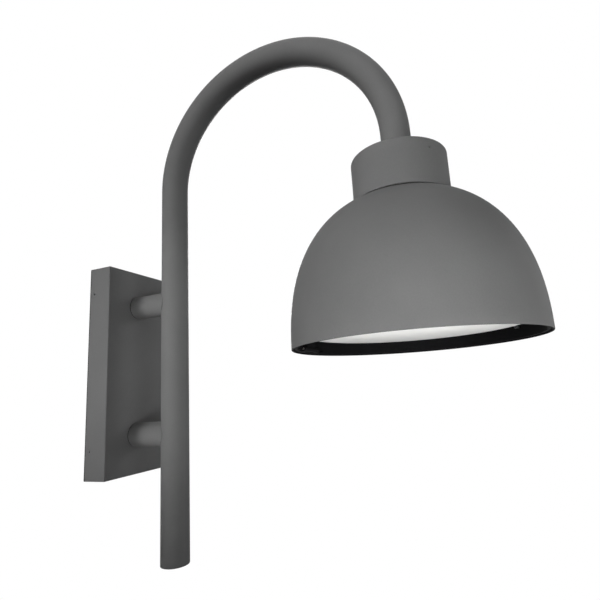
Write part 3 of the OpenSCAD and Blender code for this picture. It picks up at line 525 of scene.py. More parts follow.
@dataclass(frozen=True)
class RolledSheet(Finish):
    """Rolled aluminium sheet, left bare: long fine lines one way."""

    line_mm: float = 0.8
    line_depth_mm: float = 0.015
    drift_mm: float = 45.0
    stretch: Triple = (0.03, 1.0, 1.0)

    def paint(self, tree: Tree, shader: Node, coords: Socket) -> None:
        """Paints the rolling lines and a slow drift in polish.

        Args:
            tree: The material's node tree.
            shader: Its principled shader.
            coords: The light's own coordinates.
        """
        along = add_node(tree, "ShaderNodeMapping", {"Vector": coords, "Scale": self.stretch})
        lines = add_node(
            tree,
            "ShaderNodeTexNoise",
            {"Vector": along.outputs[0], "Scale": per_metre(self.line_mm), "Detail": 4.0},
        )
        drift = add_node(
            tree,
            "ShaderNodeTexNoise",
            {"Vector": coords, "Scale": per_metre(self.drift_mm), "Detail": 2.0},
        )
        self.vary(tree, shader, lines.outputs[0], drift.outputs[0])
        self.raise_surface(tree, shader, (lines.outputs[0], self.line_depth_mm))


@dataclass(frozen=True)
class SolderMask(Finish):
    """White solder mask over a round board: raised copper tracks under each ring of chips."""

    centre_y: float = -507.0
    ring_pitch: float = 16.0
    track_w: float = 4.4
    track_edge: float = 0.5
    track_depth_mm: float = 0.08
    track: str = "#dcd9c6"
    weave_mm: float = 1.2
    weave_depth_mm: float = 0.01

    def paint(self, tree: Tree, shader: Node, coords: Socket) -> None:
        """Paints the tracks as rings round the head's axis.

        Args:
            tree: The material's node tree.
            shader: Its principled shader.
            coords: The light's own coordinates.
        """
        centred = add_node(
            tree,
            "ShaderNodeMapping",
            {
                "Vector": coords,
                "Location": (0.0, -self.centre_y * MM, 0.0),
                "Scale": (1.0, 1.0, 0.0),
            },
        )
        radius = add_node(
            tree, "ShaderNodeVectorMath", {0: centred.outputs[0]}, operation="LENGTH"
        )
        away = add_node(
            tree,
            "ShaderNodeMath",
            {0: radius.outputs["Value"], 1: self.ring_pitch / 2 * MM},
            operation="PINGPONG",
        )
        track = add_node(
            tree,
            "ShaderNodeMapRange",
            {
                "Value": away.outputs[0],
                "From Min": self.track_w / 2 * MM,
                "From Max": (self.track_w / 2 + self.track_edge) * MM,
                "To Min": 1.0,
                "To Max": 0.0,
            },
        )
        weave = add_node(
            tree,
            "ShaderNodeTexNoise",
            {"Vector": coords, "Scale": per_metre(self.weave_mm), "Detail": 2.0},
        )
        self.vary(tree, shader, weave.outputs[0], weave.outputs[0])
        plain = shader.inputs["Base Color"].links[0].from_socket
        mask = add_node(
            tree,
            "ShaderNodeMix",
            {FACTOR: track.outputs["Result"], COLOUR_A: plain, COLOUR_B: linear(self.track)},
            data_type="RGBA",
        )
        tree.links.new(mask.outputs[COLOUR_OUT], shader.inputs["Base Color"])
        self.raise_surface(
            tree,
            shader,
            (track.outputs["Result"], self.track_depth_mm),
            (weave.outputs[0], self.weave_depth_mm),
        )


# Sprayed powder, baked: dead matt with a trace of grit and tone. It is so matt that its sheen
# at a shallow angle is weak, so its index is low.
GRAPHITE = PowderCoat(
    "polyester_powder_coat_graphite", "#5f5f5f", 0.7, ior=1.1, tone_spread=0.09
)
BLACK_COAT = PowderCoat("polyester_powder_coat_black", "#0b0b0c", 0.75, ior=1.12)
# Moulded seals are dull black, and the cut foam is duller and full of open bubbles.
GASKET_RUBBER = Rubber("rubber_moulded_black", "#131314", 0.85, ior=1.52, specular=0.12)
FOAM = CellFoam("neoprene_foam_cut", "#202021", 0.92, specular=0.3, tone_spread=0.3)
# Extruded sheaths have a smoother skin, with a soft highlight along the lead.
CABLE_SHEATH = Rubber("rubber_cable_sheath_extruded", "#1c1c1d", 0.62, ior=1.52)
RED_SILICONE = Rubber("silicone_wire_extruded_red", "#a8281f", 0.5, ior=1.41)
# Plated sheet is cool grey, with warm tints and highlights drawn out along the rolling.
ZINC = ZincPlate("steel_zinc_plated_rolled", "#94989c", 0.5, 1.0, roughness_spread=0.08)
# Turned metals have small bright highlights that the tool marks break up.
STAINLESS = TurnedMetal("stainless_steel_turned", "#b9b6b1", 0.28, 1.0)
BLACK_OXIDE = TurnedMetal("steel_black_oxide_turned", "#2a2a2c", 0.42, 0.6)
BRASS = TurnedMetal("brass_turned", "#b9923f", 0.3, 1.0)
# Cast metal is grey and cloudy, and bare sheet has long soft streaks of light.
CAST_ALUMINIUM = CastMetal("aluminium_die_cast", "#b0b3b6", 0.48, 1.0, tone_spread=0.1)
SHEET_ALUMINIUM = RolledSheet("aluminium_sheet_rolled", "#bfc3c6", 0.34, 1.0)
# Moulded plastics are satin, and light enters the pale ones and softens their edges.
NYLON = MouldedPlastic("nylon_moulded_natural", "#e6e3d8", 0.46, ior=1.53, glow=0.15)
BLACK_PLASTIC = MouldedPlastic("polycarbonate_moulded_black", "#18181a", 0.4, ior=1.58)
CHIP_BODY = MouldedPlastic("chip_body_moulded_white", "#efeeea", 0.35, glow=0.1)
# Phosphor cast in silicone is a smooth yellow drop.
PHOSPHOR = MouldedPlastic("silicone_phosphor_cast", "#e6c33f", 0.25, ior=1.41, glow=0.2)
# Enamelled metal is an even white, glossier on the driver than in the reflector.
DRIVER_CASE = WhiteEnamel("steel_case_enamelled_white", "#dedfdd", 0.4)
REFLECTOR_WHITE = WhiteEnamel(
    "aluminium_reflector_enamelled_white", "#f0f0ed", 0.55, tone_spread=0.02
)
# The board is white with cream rings, where its tracks lie under the mask.
BOARD_WHITE = SolderMask("board_solder_mask_white", "#e9eae6", 0.38, tone_spread=0.02)
# The lens is milky, with a soft highlight and no clear view of what is behind it.
OPAL = OpalSheet("acrylic_opal_satin", "#f1f1ee", 0.34, ior=1.49, tone_spread=0.012)


@cache
def material_of(finish: Finish) -> bpy.types.Material:
    """Gives a finish's material, made once."""
    return finish.build()


def dress(finish: Finish, *nodes: str) -> None:
    """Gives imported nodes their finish.

    Args:
        finish: The finish.
        nodes: The nodes that get it.
    """
    for node in nodes:
        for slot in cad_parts[node].material_slots:
            slot.material = material_of(finish)
        LOG.info("dressed %s in %s", node, finish.name)


# Mesh helpers


def round_edges(bm: Shape, edges: list[Edge], width: float, segments: int) -> None:
    """Rounds some edges of a shape.

    Args:
        bm: The shape.
        edges: The edges.
        width: The bevel's width in millimetres.
        segments: The bevel's segments.
    """
    bmesh.ops.bevel(
        bm,
        geom=edges,
        offset=width,
        offset_type="OFFSET",
        segments=segments,
        profile=0.5,
        affect="EDGES",
        clamp_overlap=True,
        material=-1,
    )


def soften(bm: Shape, width: float, segments: int = 2, angle: float = 35) -> None:
    """Rounds the sharp edges of a closed shape.

    Args:
        bm: The shape.
        width: The bevel's width in millimetres.
        segments: The bevel's segments.
        angle: Edges sharper than this many degrees are rounded.
    """
    limit = math.radians(angle)
    sharp = [e for e in bm.edges if e.is_manifold and e.calc_face_angle(0.0) > limit]
    round_edges(bm, sharp, width, segments)


def lathe(bm: Shape, profile: list[tuple[float, float]], steps: int, centre: Vector) -> None:
    """Spins a profile a full turn about an upright axis.

    Args:
        bm: The mesh that it goes into.
        profile: Radius and height of each point, in order. It is closed to a ring unless it
            starts on the axis.
        steps: Steps of the turn.
        centre: A point on the axis, from which the heights count.
    """
    verts = [bm.verts.new(centre + Vector((r, 0.0, h))) for r, h in profile]
    nexts = verts[1:] if profile[0][0] == 0 else verts[1:] + verts[:1]
    edges = [bm.edges.new(pair) for pair in zip(verts, nexts)]
    bmesh.ops.spin(
        bm,
        geom=verts + edges,
        axis=(0, 0, 1),
        cent=centre,
        angle=FULL_TURN,
        steps=steps,
        use_merge=True,
    )
    bmesh.ops.remove_doubles(bm, verts=bm.verts, dist=SAME)


def place(
    bm: Shape,
    name: str,
    finish: Finish,
    body: Body,
    replaces: tuple[str, ...] = (),
    smooth_angle: float = 32,
) -> bpy.types.Object:
    """Turns a shape in millimetres into a piece of the light.

    Args:
        bm: The shape, which is used up.
        name: The piece's name.
        finish: Its finish.
        body: The body that it rides on.
        replaces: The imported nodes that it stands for.
        smooth_angle: Edges sharper than this many degrees stay crisp.

    Returns:
        The piece.
    """
    bmesh.ops.recalc_face_normals(bm, faces=bm.faces)
    bmesh.ops.scale(bm, vec=(MM, MM, MM), verts=bm.verts)
    mesh = bpy.data.meshes.new(name)
    bm.to_mesh(mesh)
    bm.free()
    mesh.shade_smooth()
    mesh.set_sharp_from_angle(angle=math.radians(smooth_angle))
    mesh.materials.append(material_of(finish))
    piece = bpy.data.objects.new(name, mesh)
    bpy.context.scene.collection.objects.link(piece)
    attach(piece, body.value)
    if replaces:
        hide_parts(*replaces)
    LOG.info("made %s with %d faces", name, len(mesh.polygons))
    return piece


# The light


def packed_box(*nodes: str) -> tuple[Vector, Vector]:
    """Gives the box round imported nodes.

    Args:
        nodes: The nodes.

    Returns:
        Its low and high corners in millimetres.
    """
    corners = [[c / MM for c in corner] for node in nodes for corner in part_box(node)]
    return (
        Vector([min(c[axis] for c in corners) for axis in range(3)]),
        Vector([max(c[axis] for c in corners) for axis in range(3)]),
    )


@dataclass(frozen=True)
class Head:
    """Where the dome hangs: its axis, its rim and the plane on which the collar stands."""

    axis_y: float
    rim_z: float
    rim_r: float
    collar_r: float

    @classmethod
    def packed(cls) -> Self:
        """Reads the dome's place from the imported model.

        The rim's radius is the smaller of the two sides, so the spun dome stays in its box.

        Returns:
            The head.
        """
        shade_lo, shade_hi = packed_box("shade")
        collar_lo, collar_hi = packed_box("collar")
        return cls(
            axis_y=(collar_lo.y + collar_hi.y) / 2,
            rim_z=shade_lo.z,
            rim_r=min(-shade_lo.x, shade_hi.x),
            collar_r=collar_hi.x,
        )

    def point(self, radius: float, degrees: float, height: float) -> Vector:
        """Gives a point round the head's axis.

        Args:
            radius: Its distance from the axis.
            degrees: Its angle from +X towards +Y.
            height: Its height above the rim.

        Returns:
            The point.
        """
        turn = math.radians(degrees)
        x, y = radius * math.cos(turn), self.axis_y + radius * math.sin(turn)
        return Vector((x, y, self.rim_z + height))


class SubAssembly(ABC):
    """A group of pieces that are put together before they go on the light."""

    def build(self) -> None:
        """Makes the finer pieces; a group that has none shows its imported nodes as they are."""

    @abstractmethod
    def dress(self) -> None:
        """Gives the group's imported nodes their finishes."""


class WallBox(SubAssembly):
    """The box on the wall, its plate, terminals and fixings."""

    def dress(self) -> None:
        """Gives the box its finishes."""
        dress(FOAM, "wall_gasket")
        dress(GRAPHITE, "wall_box", "cover_screws")
        dress(ZINC, "back_plate", "stiffener_plate")
        dress(NYLON, "terminal_block")
        dress(BRASS, "terminal_screws", "earth_screw")
        dress(GASKET_RUBBER, "cable_grommet")


@dataclass(frozen=True)
class Tube:
    """The arm's run: its radius, its two uprights and the height where it bends."""

    radius: float
    pole_y: float
    drop_y: float
    foot_z: float
    bend_z: float

    @classmethod
    def packed(cls, head: Head) -> Self:
        """Reads the arm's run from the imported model.

        Args:
            head: The head that it ends in.

        Returns:
            The run.
        """
        lo, hi = packed_box("arm_tube")
        radius = hi.x
        pole_y = hi.y - radius
        bend_r = (pole_y - head.axis_y) / 2
        return cls(radius, pole_y, head.axis_y, lo.z, hi.z - radius - bend_r)


@dataclass
class StandOffs(SubAssembly):
    """The two tubes from the box to the upright tube, welded on with a small painted bead."""

    tube: Tube
    bead_r: float = 1.8
    bead_rings: int = 3
    ripple: float = 0.12
    points: int = 96

    def weld(self, name: str, standoff: str) -> None:
        """Lays one bead along the saddle where a stand-off meets the upright tube.

        Args:
            name: The bead's name.
            standoff: The stand-off's node.
        """
        lo, hi = packed_box(standoff)
        radius, middle = (hi.z - lo.z) / 2, (hi.z + lo.z) / 2
        curve = bpy.data.curves.new(name, "CURVE")
        curve.dimensions = "3D"
        curve.bevel_depth = self.bead_r * MM
        curve.bevel_resolution = self.bead_rings
        spline = curve.splines.new("POLY")
        spline.points.add(self.points - 1)
        spline.use_cyclic_u = True
        for i, point in enumerate(spline.points):
            turn = FULL_TURN * i / self.points
            x = radius * math.sin(turn)
            y = self.tube.pole_y + math.sqrt(self.tube.radius**2 - x**2)
            z = middle + radius * math.cos(turn)
            point.co = (x * MM, y * MM, z * MM, 1.0)
            point.radius = 1 + self.ripple * (i % 2)
        maker = bpy.data.objects.new(name + "_path", curve)
        bpy.context.scene.collection.objects.link(maker)
        bm = bmesh.new()
        bm.from_mesh(maker.to_mesh())
        maker.to_mesh_clear()
        bpy.data.objects.remove(maker)
        bmesh.ops.remove_doubles(bm, verts=bm.verts, dist=SAME * MM)
        bmesh.ops.scale(bm, vec=(1 / MM, 1 / MM, 1 / MM), verts=bm.verts)
        place(bm, name, GRAPHITE, Body.FIXTURE, smooth_angle=60)

    def build(self) -> None:
        """Makes both beads."""
        self.weld("upper_weld", "upper_standoff")
        self.weld("lower_weld", "lower_standoff")

    def dress(self) -> None:
        """Gives the stand-offs their finishes."""
        dress(GRAPHITE, "upper_standoff", "lower_standoff")
        dress(ZINC, "upper_spigot", "lower_spigot", "spigot_washers", "spigot_nuts")
        dress(GASKET_RUBBER, "standoff_seals")


@dataclass
class Arm(SubAssembly):
    """The tube: upright, half-circle bend, and the short drop into the collar."""

    tube: Tube
    wall: float = 3.2
    drop_end_z: float = 210.0
    segments: int = 96
    bend_steps: int = 120
    edge: float = 0.7

    def build(self) -> None:
        """Makes the tube by spinning its round section about the bend's axis."""
        bm = bmesh.new()
        run = self.tube
        foot = Matrix.Translation((0.0, run.pole_y, run.foot_z))
        bmesh.ops.create_circle(bm, segments=self.segments, radius=run.radius, matrix=foot)
        end = self.extrude(bm, list(bm.edges), run.bend_z - run.foot_z)
        turned = bmesh.ops.spin(
            bm,
            geom=end,
            axis=(1, 0, 0),
            cent=(0.0, (run.pole_y + run.drop_y) / 2, run.bend_z),
            angle=math.pi,
            steps=self.bend_steps,
            use_merge=False,
        )
        last = [e for e in turned["geom_last"] if isinstance(e, Edge)]
        self.extrude(bm, last, self.drop_end_z - run.bend_z)
        bmesh.ops.remove_doubles(bm, verts=bm.verts, dist=SAME)
        bmesh.ops.recalc_face_normals(bm, faces=bm.faces)
        bmesh.ops.solidify(bm, geom=bm.faces[:], thickness=self.wall)
        soften(bm, self.edge)
        place(bm, "arm", GRAPHITE, Body.FIXTURE, ("arm_tube",))

    def extrude(self, bm: Shape, edges: list[Edge], rise: float) -> list[Edge]:
        """Draws a ring of edges straight up or down.

        Args:
            bm: The tube so far.
            edges: The ring at its end.
            rise: How far up.

        Returns:
            The ring at the new end.
        """
        drawn = bmesh.ops.extrude_edge_only(bm, edges=edges)["geom"]
        verts = [v for v in drawn if isinstance(v, Vert)]
        bmesh.ops.translate(bm, vec=(0.0, 0.0, rise), verts=verts)
        return [e for e in drawn if isinstance(e, Edge)]

    def dress(self) -> None:
        """Gives the arm's other pieces their finishes."""
        dress(GRAPHITE, "end_plug")
        dress(GASKET_RUBBER, "arm_seal", "lead_bush")
        dress(CABLE_SHEATH, "supply_lead")


@dataclass
class Collar(SubAssembly):
    """The sleeve on top of the dome, its hub inside and the plates that clamp the dome."""

    undercut: float = 0.9
    foot_band: float = 0.01
    side_band: float = 0.5
    packed_same: float = 1e-3

    def build(self) -> None:
        """Makes the sleeve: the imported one, its outer foot cut back to deepen the seam.

        The foot's outer ring is found by its height and by how near it is to the side.
        """
        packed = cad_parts["collar"]
        bm = bmesh.new()
        bm.from_mesh(packed.data)
        bmesh.ops.transform(bm, matrix=packed.matrix_world, verts=bm.verts)
        bmesh.ops.scale(bm, vec=(1 / MM, 1 / MM, 1 / MM), verts=bm.verts)
        bmesh.ops.remove_doubles(bm, verts=bm.verts, dist=self.packed_same)
        lo, hi = packed_box("collar")
        middle = (lo + hi) / 2
        for vert in bm.verts:
            out = Vector((vert.co.x - middle.x, vert.co.y - middle.y)).length
            if vert.co.z < lo.z + self.foot_band and out > hi.x - self.side_band:
                vert.co.z += self.undercut
        place(bm, "collar_sleeve", GRAPHITE, Body.FIXTURE, ("collar",))

    def dress(self) -> None:
        """Gives the collar's other pieces their finishes."""
        dress(GRAPHITE, "collar_screws")
        dress(CAST_ALUMINIUM, "arm_hub")
        dress(BLACK_OXIDE, "hub_set_screws")
        dress(GASKET_RUBBER, "collar_gasket")
        dress(ZINC, "clamp_plate", "clamp_screws")


@dataclass
class Dome(SubAssembly):
    """The spun shade with its eased rim, and the ring that the door closes on.

    The curve is a superellipse of the given power. An edge belongs to the rim where both its
    ends are within rim_band of the rim's plane and it turns by more than rim_turn radians. A
    face goes black, partly as a glare coat and partly as painted shade, where its normal leans
    less than lining_and_shade_limit outwards and upwards.
    """

    head: Head
    full_h: float = 202.0
    power: float = 2.38
    wall: float = 2.5
    bore_r: float = 12.0
    crown_step: float = 0.3
    rim_edge: float = 0.9
    rim_band: float = 1e-3
    rim_turn: float = 1.0
    lining_and_shade_limit: float = 0.5
    curve_points: int = 44
    steps: int = 192

    def curve(self, radius: float, height: float, end_r: float) -> list[tuple[float, float]]:
        """Gives points of the dome's curve from its rim up to a radius.

        Args:
            radius: The curve's radius at the rim.
            height: Its full height.
            end_r: The radius where it ends.

        Returns:
            Radius and height of each point.
        """
        last = math.acos((end_r / radius) ** (self.power / 2))
        turns = [last * i / self.curve_points for i in range(self.curve_points + 1)]
        return [
            (radius * math.cos(t) ** (2 / self.power), height * math.sin(t) ** (2 / self.power))
            for t in turns
        ]

    def build(self) -> None:
        """Spins the shade."""
        head = self.head
        outer = self.curve(head.rim_r, self.full_h, head.collar_r)
        inner = self.curve(head.rim_r - self.wall, self.full_h - self.wall, head.collar_r)
        top = outer[-1][1]
        under = top - self.wall
        inner = [p for p in inner if p[1] < under]
        profile = outer + [(self.bore_r, top), (self.bore_r, under)]
        profile += [(inner[-1][0] - self.crown_step, under)] + inner[::-1]
        bm = bmesh.new()
        lathe(bm, profile, self.steps, head.point(0.0, 0.0, 0.0))
        rim = [
            e
            for e in bm.edges
            if max(abs(v.co.z - head.rim_z) for v in e.verts) < self.rim_band
            and e.calc_face_angle(0.0) > self.rim_turn
        ]
        round_edges(bm, rim, self.rim_edge, segments=3)
        shell = place(bm, "dome_shell", GRAPHITE, Body.FIXTURE, ("shade",))
        self.line_and_shade(shell.data)

    def line_and_shade(self, mesh: bpy.types.Mesh) -> None:
        """Coats the inside and the rim's edge in black, partly against glare and partly as
        painted shade.

        Args:
            mesh: The shell's mesh.
        """
        mesh.materials.append(material_of(BLACK_COAT))
        # Inward and downward faces go black: partly a glare coat, partly painted shade in the
        # mouth.
        for face in mesh.polygons:
            out = Vector((face.center.x, face.center.y - self.head.axis_y * MM, 0.0))
            inward = face.normal.dot(out.normalized()) < self.lining_and_shade_limit
            if inward and face.normal.z < self.lining_and_shade_limit:
                face.material_index = 1

    def dress(self) -> None:
        """Gives the ring and its fixings their finishes."""
        dress(BLACK_COAT, "door_ring")
        dress(GASKET_RUBBER, "door_seal")
        dress(STAINLESS, "hinge_pin", "strap_screws")
        dress(ZINC, "ring_straps")


@dataclass
class Gear(SubAssembly):
    """What the dome hides: heat sink, driver, board, chips and reflector."""

    head: Head
    chip_w: float = 3.5
    chip_edge: float = 0.25
    phosphor_r: float = 1.35
    phosphor_taper: float = 0.8
    phosphor_t: float = 0.12
    rows: tuple[tuple[int, float], ...] = ((6, 16.0), (12, 32.0), (18, 48.0), (24, 64.0))

    def places(self, middle_z: float) -> list[Matrix]:
        """Gives the place of each chip's middle, turned to its ring.

        Args:
            middle_z: The height of the chips' middles.

        Returns:
            A place for each chip.
        """
        middle = Matrix.Translation((0.0, self.head.axis_y, middle_z))
        return [
            middle
            @ Matrix.Rotation(FULL_TURN * i / count, 4, "Z")
            @ Matrix.Translation((radius, 0.0, 0.0))
            for count, radius in self.rows
            for i in range(count)
        ]

    def build(self) -> None:
        """Makes the chips: a white body with a round of phosphor in its lower face."""
        lo, hi = packed_box("led_chips")
        chip_t = hi.z - lo.z
        size = Matrix.Diagonal((self.chip_w, self.chip_w, chip_t, 1.0))
        bodies, dots = bmesh.new(), bmesh.new()
        for spot in self.places((lo.z + hi.z) / 2):
            bmesh.ops.create_cube(bodies, size=1.0, matrix=spot @ size)
            low = Matrix.Translation((0.0, 0.0, -chip_t / 2))
            bmesh.ops.create_cone(
                dots,
                cap_ends=True,
                segments=16,
                radius1=self.phosphor_r * self.phosphor_taper,
                radius2=self.phosphor_r,
                depth=self.phosphor_t,
                matrix=spot @ low,
            )
        soften(bodies, self.chip_edge)
        place(bodies, "chip_bodies", CHIP_BODY, Body.FIXTURE, ("led_chips",))
        place(dots, "chip_phosphor", PHOSPHOR, Body.FIXTURE)

    def dress(self) -> None:
        """Gives the gear its finishes."""
        dress(SHEET_ALUMINIUM, "gear_plate", "heat_sink")
        dress(ZINC, "hanger_rods", "rod_nuts", "driver_plate", "driver_screws")
        dress(DRIVER_CASE, "driver")
        dress(BLACK_PLASTIC, "surge_protector")
        dress(BOARD_WHITE, "led_board")
        dress(STAINLESS, "board_screws")
        dress(RED_SILICONE, "led_lead")
        dress(GASKET_RUBBER, "led_grommet")
        dress(REFLECTOR_WHITE, "reflector")


@dataclass
class LensDoor(SubAssembly):
    """The hinged door that carries the opal lens."""

    head: Head
    pan_r: float = 141.502
    lens_t: float = 4.0
    lens_edge: float = 0.6
    lens_steps: int = 180
    screw_r: float = 150.602
    screw_angles: tuple[float, float] = (-125.0, -55.0)
    shank_r: float = 2.0
    shank_segments: int = 32
    head_r: float = 3.5
    head_segments: int = 48
    head_t: float = 3.0
    socket_r: float = 1.6
    knurl: float = 0.25

    def lens(self) -> None:
        """Makes the lens: a moulded pan with eased edges, its floor down in the window."""
        lo, hi = packed_box("lens")
        seat, pan_r = packed_box("lens_gasket")[1].z, self.pan_r
        floor_top = lo.z + self.lens_t
        profile = [
            (0.0, lo.z),
            (pan_r, lo.z),
            (pan_r, seat),
            (hi.x, seat),
            (hi.x, hi.z),
            (pan_r - self.lens_t, hi.z),
            (pan_r - self.lens_t, floor_top),
            (0.0, floor_top),
        ]
        bm = bmesh.new()
        lathe(bm, profile, self.lens_steps, Vector((0.0, self.head.axis_y, 0.0)))
        soften(bm, self.lens_edge, segments=3, angle=60)
        place(bm, "lens_sheet", OPAL, Body.DOOR, ("lens",))

    def captive_screws(self) -> None:
        """Makes the two knurled screws, each with a socket in its head."""
        lo, hi = packed_box("captive_screws")
        bm = bmesh.new()
        for angle in self.screw_angles:
            axis = self.head.point(self.screw_r, angle, 0.0)
            axis.z = 0.0
            face_z = lo.z + self.head_t
            self.rod(bm, axis, self.shank_r, self.shank_segments, face_z, hi.z)
            head = self.rod(bm, axis, self.head_r, self.head_segments, lo.z, face_z)
            self.knurl_head(head, axis)
            self.sink_socket(bm, head)
        place(
            bm,
            "door_screws",
            BLACK_OXIDE,
            Body.DOOR,
            ("captive_screws",),
            smooth_angle=40,
        )

    def rod(
        self, bm: Shape, axis: Vector, radius: float, segments: int, low: float, high: float
    ) -> list[Vert]:
        """Adds an upright rod.

        Args:
            bm: The mesh that it goes into.
            axis: A point on its axis, at height 0.
            radius: Its radius.
            segments: Its segments.
            low: The height of its lower end.
            high: The height of its upper end.

        Returns:
            Its vertices.
        """
        return bmesh.ops.create_cone(
            bm,
            cap_ends=True,
            segments=segments,
            radius1=radius,
            radius2=radius,
            depth=high - low,
            matrix=Matrix.Translation(axis + Vector((0.0, 0.0, (low + high) / 2))),
        )["verts"]

    def knurl_head(self, verts: list[Vert], axis: Vector) -> None:
        """Draws every other pair of points in towards the axis, so the head is ribbed.

        Points are counted round the head: two stay out, and the next two go in.

        Args:
            verts: The head's vertices.
            axis: A point on its axis.
        """
        for vert in verts:
            out = Vector((vert.co.x - axis.x, vert.co.y - axis.y, 0.0))
            point = round(math.atan2(out.y, out.x) / FULL_TURN * self.head_segments)
            if point % 4 > 1:
                vert.co -= out.normalized() * self.knurl

    def sink_socket(self, bm: Shape, verts: list[Vert]) -> None:
        """Sinks a round socket in the head's lower face, to half the head's depth.

        Args:
            bm: The mesh.
            verts: The head's vertices.
        """
        faces = {f for v in verts for f in v.link_faces}
        floor = min(faces, key=lambda f: f.calc_center_median().z)
        width = self.head_r - self.socket_r
        bmesh.ops.inset_region(bm, faces=[floor], thickness=width, use_even_offset=False)
        sunk = bmesh.ops.extrude_discrete_faces(bm, faces=[floor])["faces"]
        corners = [v for f in sunk for v in f.verts]
        bmesh.ops.translate(bm, vec=(0.0, 0.0, self.head_t / 2), verts=corners)

    def build(self) -> None:
        """Makes the lens and the captive screws."""
        self.lens()
        self.captive_screws()

    def dress(self) -> None:
        """Gives the door's frame and trim their finishes."""
        dress(BLACK_COAT, "lens_frame", "lens_clamp")
        dress(GASKET_RUBBER, "lens_gasket")
        dress(STAINLESS, "lens_clamp_screws")


# Studio


@dataclass(frozen=True)
class Softbox:
    """A square area lamp, in metres and watts, that points at a place on the light.

    A spread under 180 degrees is a honeycomb grid on its front, which narrows its beam.
    """

    name: str
    at: Triple
    aim: Triple
    size: float
    power: float
    spread: float = 180.0

    def build(self) -> None:
        """Hangs the lamp."""
        lamp = bpy.data.lights.new(self.name, "AREA")
        lamp.shape = "SQUARE"
        lamp.size = self.size
        lamp.energy = self.power
        lamp.spread = math.radians(self.spread)
        holder = bpy.data.objects.new(self.name, lamp)
        holder.location = self.at
        look = Vector(self.aim) - Vector(self.at)
        holder.rotation_euler = look.to_track_quat("-Z", "Y").to_euler()
        bpy.context.scene.collection.objects.link(holder)
        LOG.info("hung %s", self.name)


# Where the lamps point, in metres.
MIDDLE = (0.0, -0.35, 0.1)
DOME = (0.0, -0.55, 0.06)
LENS = (0.0, -0.507, 0.0)
COLLAR = (0.0, -0.507, 0.1)
POLE = (0.0, -0.1, 0.0)
ARC = (0.0, -0.3, 0.45)
BEND = (0.0, -0.38, 0.47)


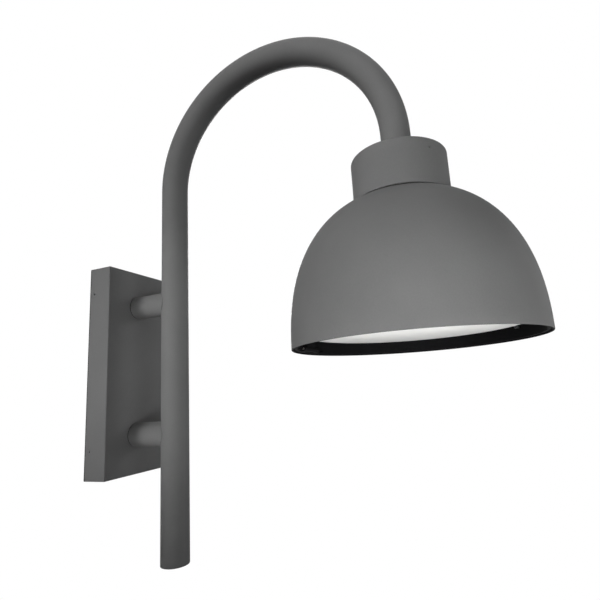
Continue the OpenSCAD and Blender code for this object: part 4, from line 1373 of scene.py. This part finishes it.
@dataclass
class Studio:
    """A pale floor well below the light, a white surround, soft lamps and the camera.

    Lengths are metres, but for the sensor. The camera is the pinhole camera that was fitted
    to the light's outline in the photograph. The floor is white to the eye for floor_share of
    what is seen, from its least value under the light to its greatest at the fade's far end.
    """

    floor_z: float = -1.3
    floor_size: float = 16.0
    floor_colour: str = "#e8e8e8"
    floor_share: tuple[float, float] = (0.75, 1.0)
    floor_fade: tuple[float, float] = (0.6, 2.0)
    ambient: float = 0.06
    lamps: tuple[Softbox, ...] = (
        Softbox("dome_softbox", (-1.2, -0.7, -0.35), DOME, 0.4, 0.98, 32.0),
        Softbox("pole_softbox", (-1.0, -0.8, -0.4), POLE, 0.4, 0.39, 32.0),
        Softbox("wall_softbox", (-1.1, 0.5, 0.0), POLE, 0.4, 0.62, 32.0),
        Softbox("arc_softbox", (-1.0, 0.4, 0.9), ARC, 0.4, 1.0, 50.0),
        Softbox("bend_softbox", (-0.9, -0.6, 1.0), BEND, 0.4, 0.5, 40.0),
        Softbox("lens_softbox", (-0.3, -0.9, -1.1), LENS, 0.4, 0.18, 25.0),
        Softbox("low_softbox", (-0.3, -1.4, -0.8), COLLAR, 0.5, 0.66, 60.0),
        Softbox("front_softbox", (1.55, -1.95, 0.67), MIDDLE, 1.0, 1.5, 45.0),
        Softbox("far_softbox", (1.98, 0.43, 0.67), MIDDLE, 1.0, 5.2, 40.0),
        Softbox("top_softbox", (0.6, -0.3, 1.9), MIDDLE, 1.0, 1.3, 45.0),
    )
    camera_at: Triple = (-0.592577, -0.615621, -0.054233)
    camera_right: Triple = (0.377772, -0.923745, -0.063117)
    camera_up: Triple = (-0.154818, -0.130228, 0.979322)
    focal_px: float = 455.678
    centre_px: tuple[float, float] = (323.877, 301.763)
    photo_px: float = 600.0
    sensor_mm: float = 36.0
    clip: tuple[float, float] = (0.01, 50.0)

    def seen_ray(self, tree: Tree) -> Socket:
        """Gives 1 for rays from the camera and rays mirrored or passed on by the light.

        Args:
            tree: The tree that asks.

        Returns:
            The socket with the answer.
        """
        path = add_node(tree, "ShaderNodeLightPath")
        first = add_node(
            tree,
            "ShaderNodeMath",
            {0: path.outputs["Is Camera Ray"], 1: path.outputs["Is Glossy Ray"]},
            operation="MAXIMUM",
        )
        return add_node(
            tree,
            "ShaderNodeMath",
            {0: first.outputs[0], 1: path.outputs["Is Transmission Ray"]},
            operation="MAXIMUM",
        ).outputs[0]

    def surround(self) -> None:
        """Makes the world: white where it is seen, softer where it lights the piece."""
        world = bpy.data.worlds.new("white_surround")
        world.use_nodes = True
        tree = world.node_tree
        tree.nodes.clear()
        strength = add_node(
            tree,
            "ShaderNodeMapRange",
            {"Value": self.seen_ray(tree), "To Min": self.ambient, "To Max": 1.0},
        )
        glow = add_node(
            tree,
            "ShaderNodeBackground",
            {"Color": WHITE, "Strength": strength.outputs["Result"]},
        )
        add_node(tree, "ShaderNodeOutputWorld", {"Surface": glow.outputs[0]})
        bpy.context.scene.world = world

    def floor(self) -> None:
        """Lays the floor: pale, white to the eye, and still holding the light's soft shadow."""
        material = bpy.data.materials.new("studio_floor_painted_white")
        material.use_nodes = True
        tree = material.node_tree
        tree.nodes.clear()
        paint = add_node(tree, "ShaderNodeBsdfDiffuse", {"Color": linear(self.floor_colour)})
        white = add_node(tree, "ShaderNodeEmission", {"Color": WHITE})
        foot = add_node(tree, "ShaderNodeTexCoord").outputs["Object"]
        away = add_node(
            tree,
            "ShaderNodeVectorMath",
            {0: foot, 1: (MIDDLE[0], MIDDLE[1], self.floor_z)},
            operation="DISTANCE",
        )
        fade = add_node(
            tree,
            "ShaderNodeMapRange",
            {
                "Value": away.outputs["Value"],
                "From Min": self.floor_fade[0],
                "From Max": self.floor_fade[1],
                "To Min": self.floor_share[0],
                "To Max": self.floor_share[1],
            },
        )
        share = add_node(
            tree,
            "ShaderNodeMath",
            {0: self.seen_ray(tree), 1: fade.outputs["Result"]},
            operation="MULTIPLY",
        )
        both = add_node(
            tree,
            "ShaderNodeMixShader",
            {0: share.outputs[0], 1: paint.outputs[0], 2: white.outputs[0]},
        )
        add_node(tree, "ShaderNodeOutputMaterial", {"Surface": both.outputs[0]})
        bm = bmesh.new()
        bmesh.ops.create_grid(bm, x_segments=1, y_segments=1, size=self.floor_size / 2)
        bmesh.ops.translate(bm, vec=(0.0, 0.0, self.floor_z), verts=bm.verts)
        mesh = bpy.data.meshes.new("studio_floor")
        bm.to_mesh(mesh)
        bm.free()
        mesh.materials.append(material)
        floor = bpy.data.objects.new("studio_floor", mesh)
        bpy.context.scene.collection.objects.link(floor)

    def camera(self) -> None:
        """Sets the camera to the photograph's viewpoint and framing."""
        data = bpy.data.cameras.new("photo_view")
        data.sensor_width = self.sensor_mm
        data.lens = self.focal_px / self.photo_px * data.sensor_width
        data.shift_x = 0.5 - self.centre_px[0] / self.photo_px
        data.shift_y = self.centre_px[1] / self.photo_px - 0.5
        data.clip_start, data.clip_end = self.clip
        camera = bpy.data.objects.new("photo_view", data)
        right, up = Vector(self.camera_right), Vector(self.camera_up)
        turn = Matrix((right, up, right.cross(up))).transposed().to_4x4()
        camera.matrix_world = Matrix.Translation(self.camera_at) @ turn
        bpy.context.scene.collection.objects.link(camera)
        bpy.context.scene.camera = camera

    def build(self) -> None:
        """Sets up the whole studio."""
        self.surround()
        self.floor()
        for lamp in self.lamps:
            lamp.build()
        self.camera()
        bpy.context.scene.view_settings.view_transform = "Standard"


def main() -> None:
    """Builds and dresses the light piece by piece, then sets up the studio."""
    logging.basicConfig(level=logging.INFO, format="%(name)s: %(message)s")
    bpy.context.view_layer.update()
    head = Head.packed()
    tube = Tube.packed(head)
    parts = (
        WallBox(),
        StandOffs(tube),
        Arm(tube),
        Collar(),
        Dome(head),
        Gear(head),
        LensDoor(head),
    )
    for part in parts:
        LOG.info("building %s", type(part).__name__)
        part.build()
        part.dress()
    Studio().build()


if __name__ == "__main__":
    main()
